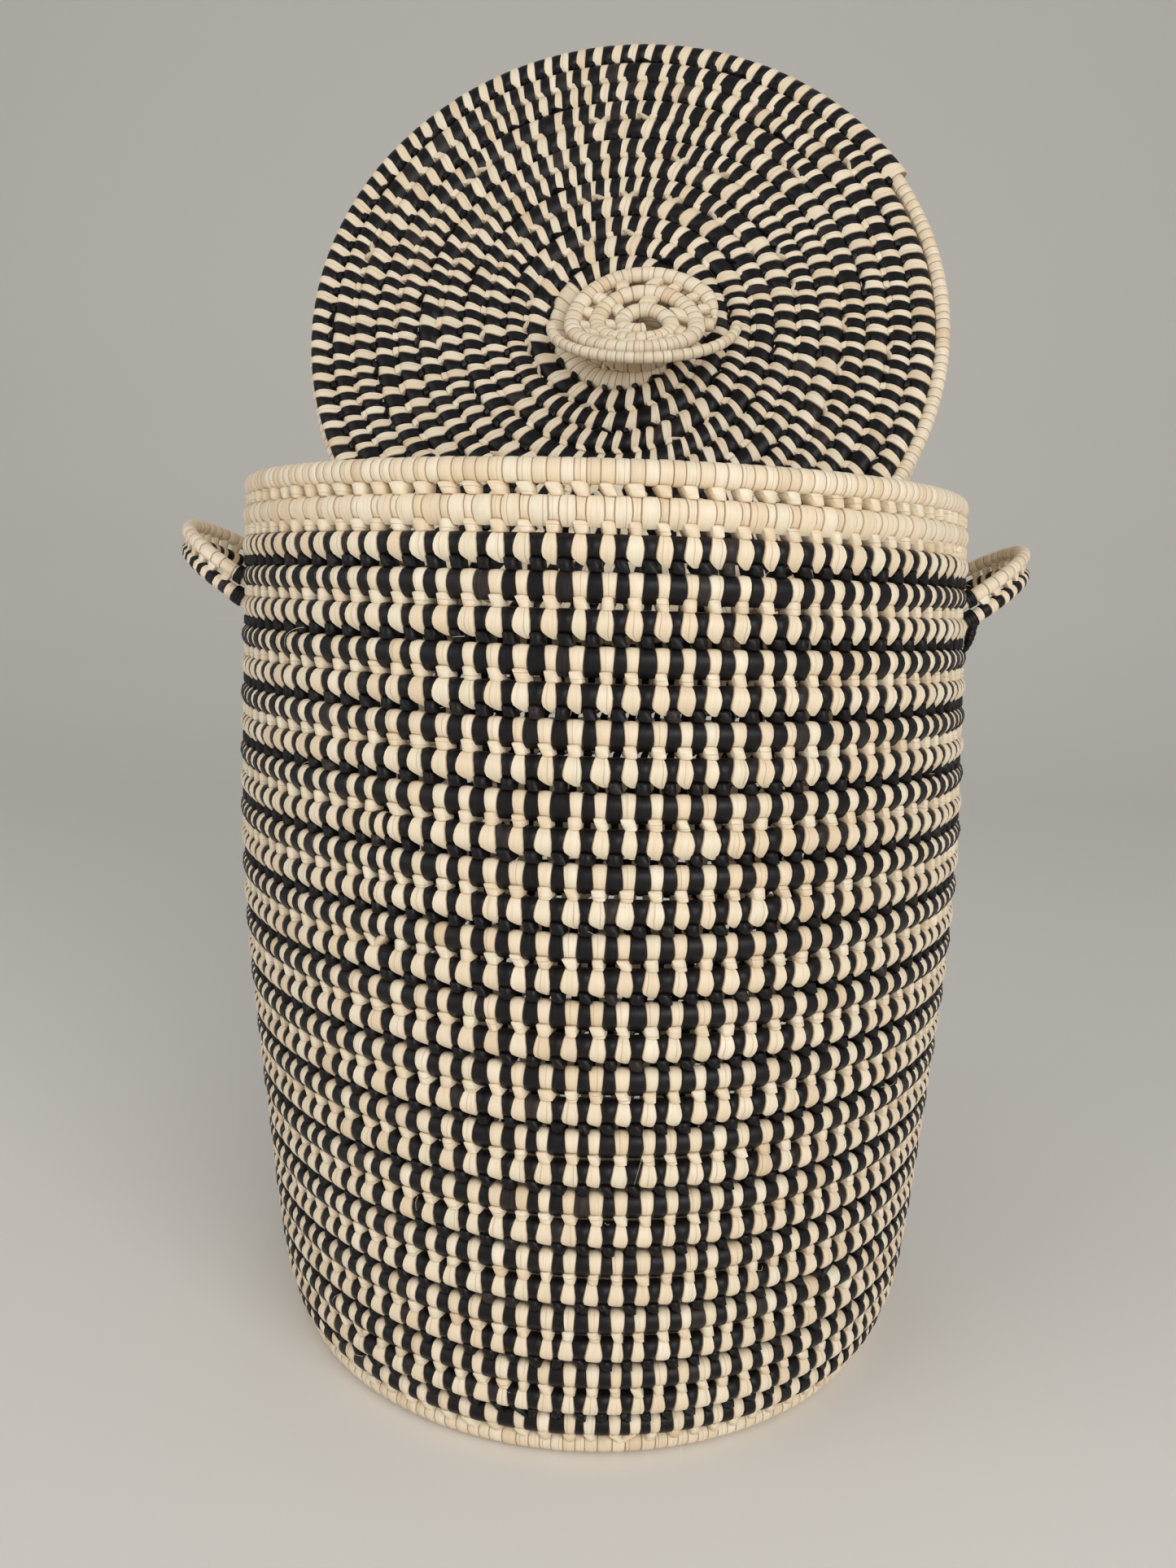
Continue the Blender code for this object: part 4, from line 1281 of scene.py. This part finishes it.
class BASKET_OT_fibres(bpy.types.Operator):
    """Leaves some frayed ends standing off the wall."""

    bl_idname = "basket.fibres"
    bl_label = "Loose fibres"

    def execute(self, context):
        sizes, count = context.scene.basket_sizes, context.scene.weave_sizes.fibres
        free_turns, out = 2, 0.0040
        random = np.random.default_rng(FIBRE_SEED)
        wall = Wall(sizes)
        turns = random.uniform(free_turns, wall.flat_turn - free_turns, count)
        starts = wall.place(turns, np.full(count, sizes.pitch / 2), np.full(count, out))
        places = []
        for start, turn in zip(starts, turns):
            angle = wall.start_angle + TURN * turn
            away = Vector((math.cos(angle), math.sin(angle), 0.0))
            places.append((Vector(start), away, Vector((-away.y, away.x, 0.0))))
        put(loose_fibres("wall_fibres", places, random), "basket", "natural_leaf")
        return {"FINISHED"}


class BASKET_OT_stage(bpy.types.Operator):
    """Floor, backdrop, lamps and camera."""

    bl_idname = "basket.stage"
    bl_label = "Stage"

    def execute(self, context):
        settings = context.scene.studio_settings
        build_floor(settings)
        build_lamps(settings)
        build_camera(context.scene)
        context.scene.view_settings.view_transform = "Standard"
        return {"FINISHED"}


def build_floor(settings):
    """One sheet: a floor that bends up into a backdrop far behind."""
    half_width = 6.0
    bm = bmesh.new()
    bmesh.ops.create_grid(bm, x_segments=1, y_segments=24, size=1.0)
    for vert in bm.verts:
        vert.co = backdrop_point(vert.co.x * half_width, (vert.co.y + 1) / 2)
    bmesh.ops.recalc_face_normals(bm, faces=bm.faces[:])
    mesh = mesh_from(bm, "backdrop")
    mesh.shade_smooth()
    material = bpy.data.materials.new("backdrop")
    material.use_nodes = True
    inputs = material.node_tree.nodes["Principled BSDF"].inputs
    inputs["Base Color"].default_value = (*settings.floor, 1.0)
    inputs["Roughness"].default_value = 0.9
    inputs["Specular IOR Level"].default_value = 0.1
    mesh.materials.append(material)
    floor = linked("backdrop", mesh)


def backdrop_point(across, share):
    """A point of the sheet's section: flat floor, a quarter bend, an upright wall."""
    front, back, bend, top = -4.0, 2.2, 1.2, 5.0
    flat = back - front
    curve = bend * math.pi / 2
    length = share * (flat + curve + top - bend)
    if length <= flat:
        return Vector((across, front + length, 0.0))
    if length <= flat + curve:
        angle = (length - flat) / bend
        return Vector((across, back + bend * math.sin(angle), bend * (1 - math.cos(angle))))
    return Vector((across, back + bend, bend + length - flat - curve))


def build_lamps(settings):
    """A large lamp on the right, a weaker one on the left and a plain sky."""
    aim = Vector((0.0, 0.0, 0.35))
    for name, power, size, place in (
        ("key", settings.key, 1.4, (1.0, -2.0, 1.05)),
        ("fill", settings.fill, 1.8, (-1.8, -1.2, 1.0)),
    ):
        data = bpy.data.lights.new(name, "AREA")
        data.energy = power
        data.size = size
        lamp = linked(name, data)
        lamp.location = place
        lamp.rotation_euler = (aim - Vector(place)).to_track_quat("-Z", "Y").to_euler()
    world = bpy.data.worlds.new("studio")
    world.use_nodes = True
    background = world.node_tree.nodes["Background"]
    background.inputs["Color"].default_value = (1.0, 1.0, 1.0, 1.0)
    background.inputs["Strength"].default_value = settings.sky
    bpy.context.scene.world = world


def build_camera(scene):
    """The photograph's view: where it stood, its pitch, yaw and roll."""
    height_px, focal_px, sensor = 1927.0, 1480.0, 36.0
    place = (0.0, -0.7463, 0.4436)
    yaw, pitch, roll = (math.radians(angle) for angle in (-0.59, 8.96, 0.95))
    way = Vector((math.sin(yaw) * math.cos(pitch), math.cos(yaw) * math.cos(pitch), -math.sin(pitch)))
    right = Vector((math.cos(yaw), -math.sin(yaw), 0.0))
    up = right.cross(way)
    x_axis = math.cos(roll) * right + math.sin(roll) * up
    y_axis = -math.sin(roll) * right + math.cos(roll) * up
    data = bpy.data.cameras.new("camera")
    data.sensor_fit = "VERTICAL"
    data.sensor_height = sensor
    data.lens = focal_px * sensor / height_px
    data.clip_start = 0.02
    data.clip_end = 50.0
    camera = linked("camera", data)
    axes = Matrix((x_axis, y_axis, -way)).transposed().to_4x4()
    camera.matrix_world = Matrix.Translation(place) @ axes
    scene.camera = camera


class BASKET_PT_panel(bpy.types.Panel):
    """Lists the pieces of the basket."""

    bl_idname = "BASKET_PT_panel"
    bl_label = "Coiled basket"
    bl_space_type = "VIEW_3D"
    bl_region_type = "UI"
    bl_category = "Basket"

    def draw(self, context):
        layout = self.layout
        for group, _ in GROUPS:
            values = getattr(context.scene, group)
            box = layout.box()
            for name in values.bl_rna.properties.keys():
                if name not in ("rna_type", "name"):
                    box.prop(values, name)
        for operator in PIECES:
            layout.operator(operator.bl_idname)


GROUPS = (
    ("basket_sizes", BasketSizes),
    ("weave_sizes", WeaveSizes),
    ("lid_sizes", LidSizes),
    ("knob_sizes", KnobSizes),
    ("handle_sizes", HandleSizes),
    ("leaf_colours", LeafColours),
    ("studio_settings", StudioSettings),
)
PIECES = (
    BASKET_OT_wall,
    BASKET_OT_base,
    BASKET_OT_handles,
    BASKET_OT_lid,
    BASKET_OT_knob,
    BASKET_OT_fibres,
    BASKET_OT_stage,
)


def register():
    """Registers the groups of sizes, the operators and the panel."""
    for name, group in GROUPS:
        bpy.utils.register_class(group)
        setattr(bpy.types.Scene, name, PointerProperty(type=group))
    for operator in PIECES:
        bpy.utils.register_class(operator)
    bpy.utils.register_class(BASKET_PT_panel)


def unregister():
    """Takes them out again."""
    bpy.utils.unregister_class(BASKET_PT_panel)
    for operator in reversed(PIECES):
        bpy.utils.unregister_class(operator)
    for name, group in reversed(GROUPS):
        delattr(bpy.types.Scene, name)
        bpy.utils.unregister_class(group)


def corners(box):
    """A box as plain lists."""
    return [[round(value, ROUND_VALUES) for value in corner] for corner in box]


def main():
    """Makes every piece and the stage."""
    register()
    for operator in PIECES:
        group, name = operator.bl_idname.split(".")
        getattr(getattr(bpy.ops, group), name)()


if __name__ == "__main__":
    main()
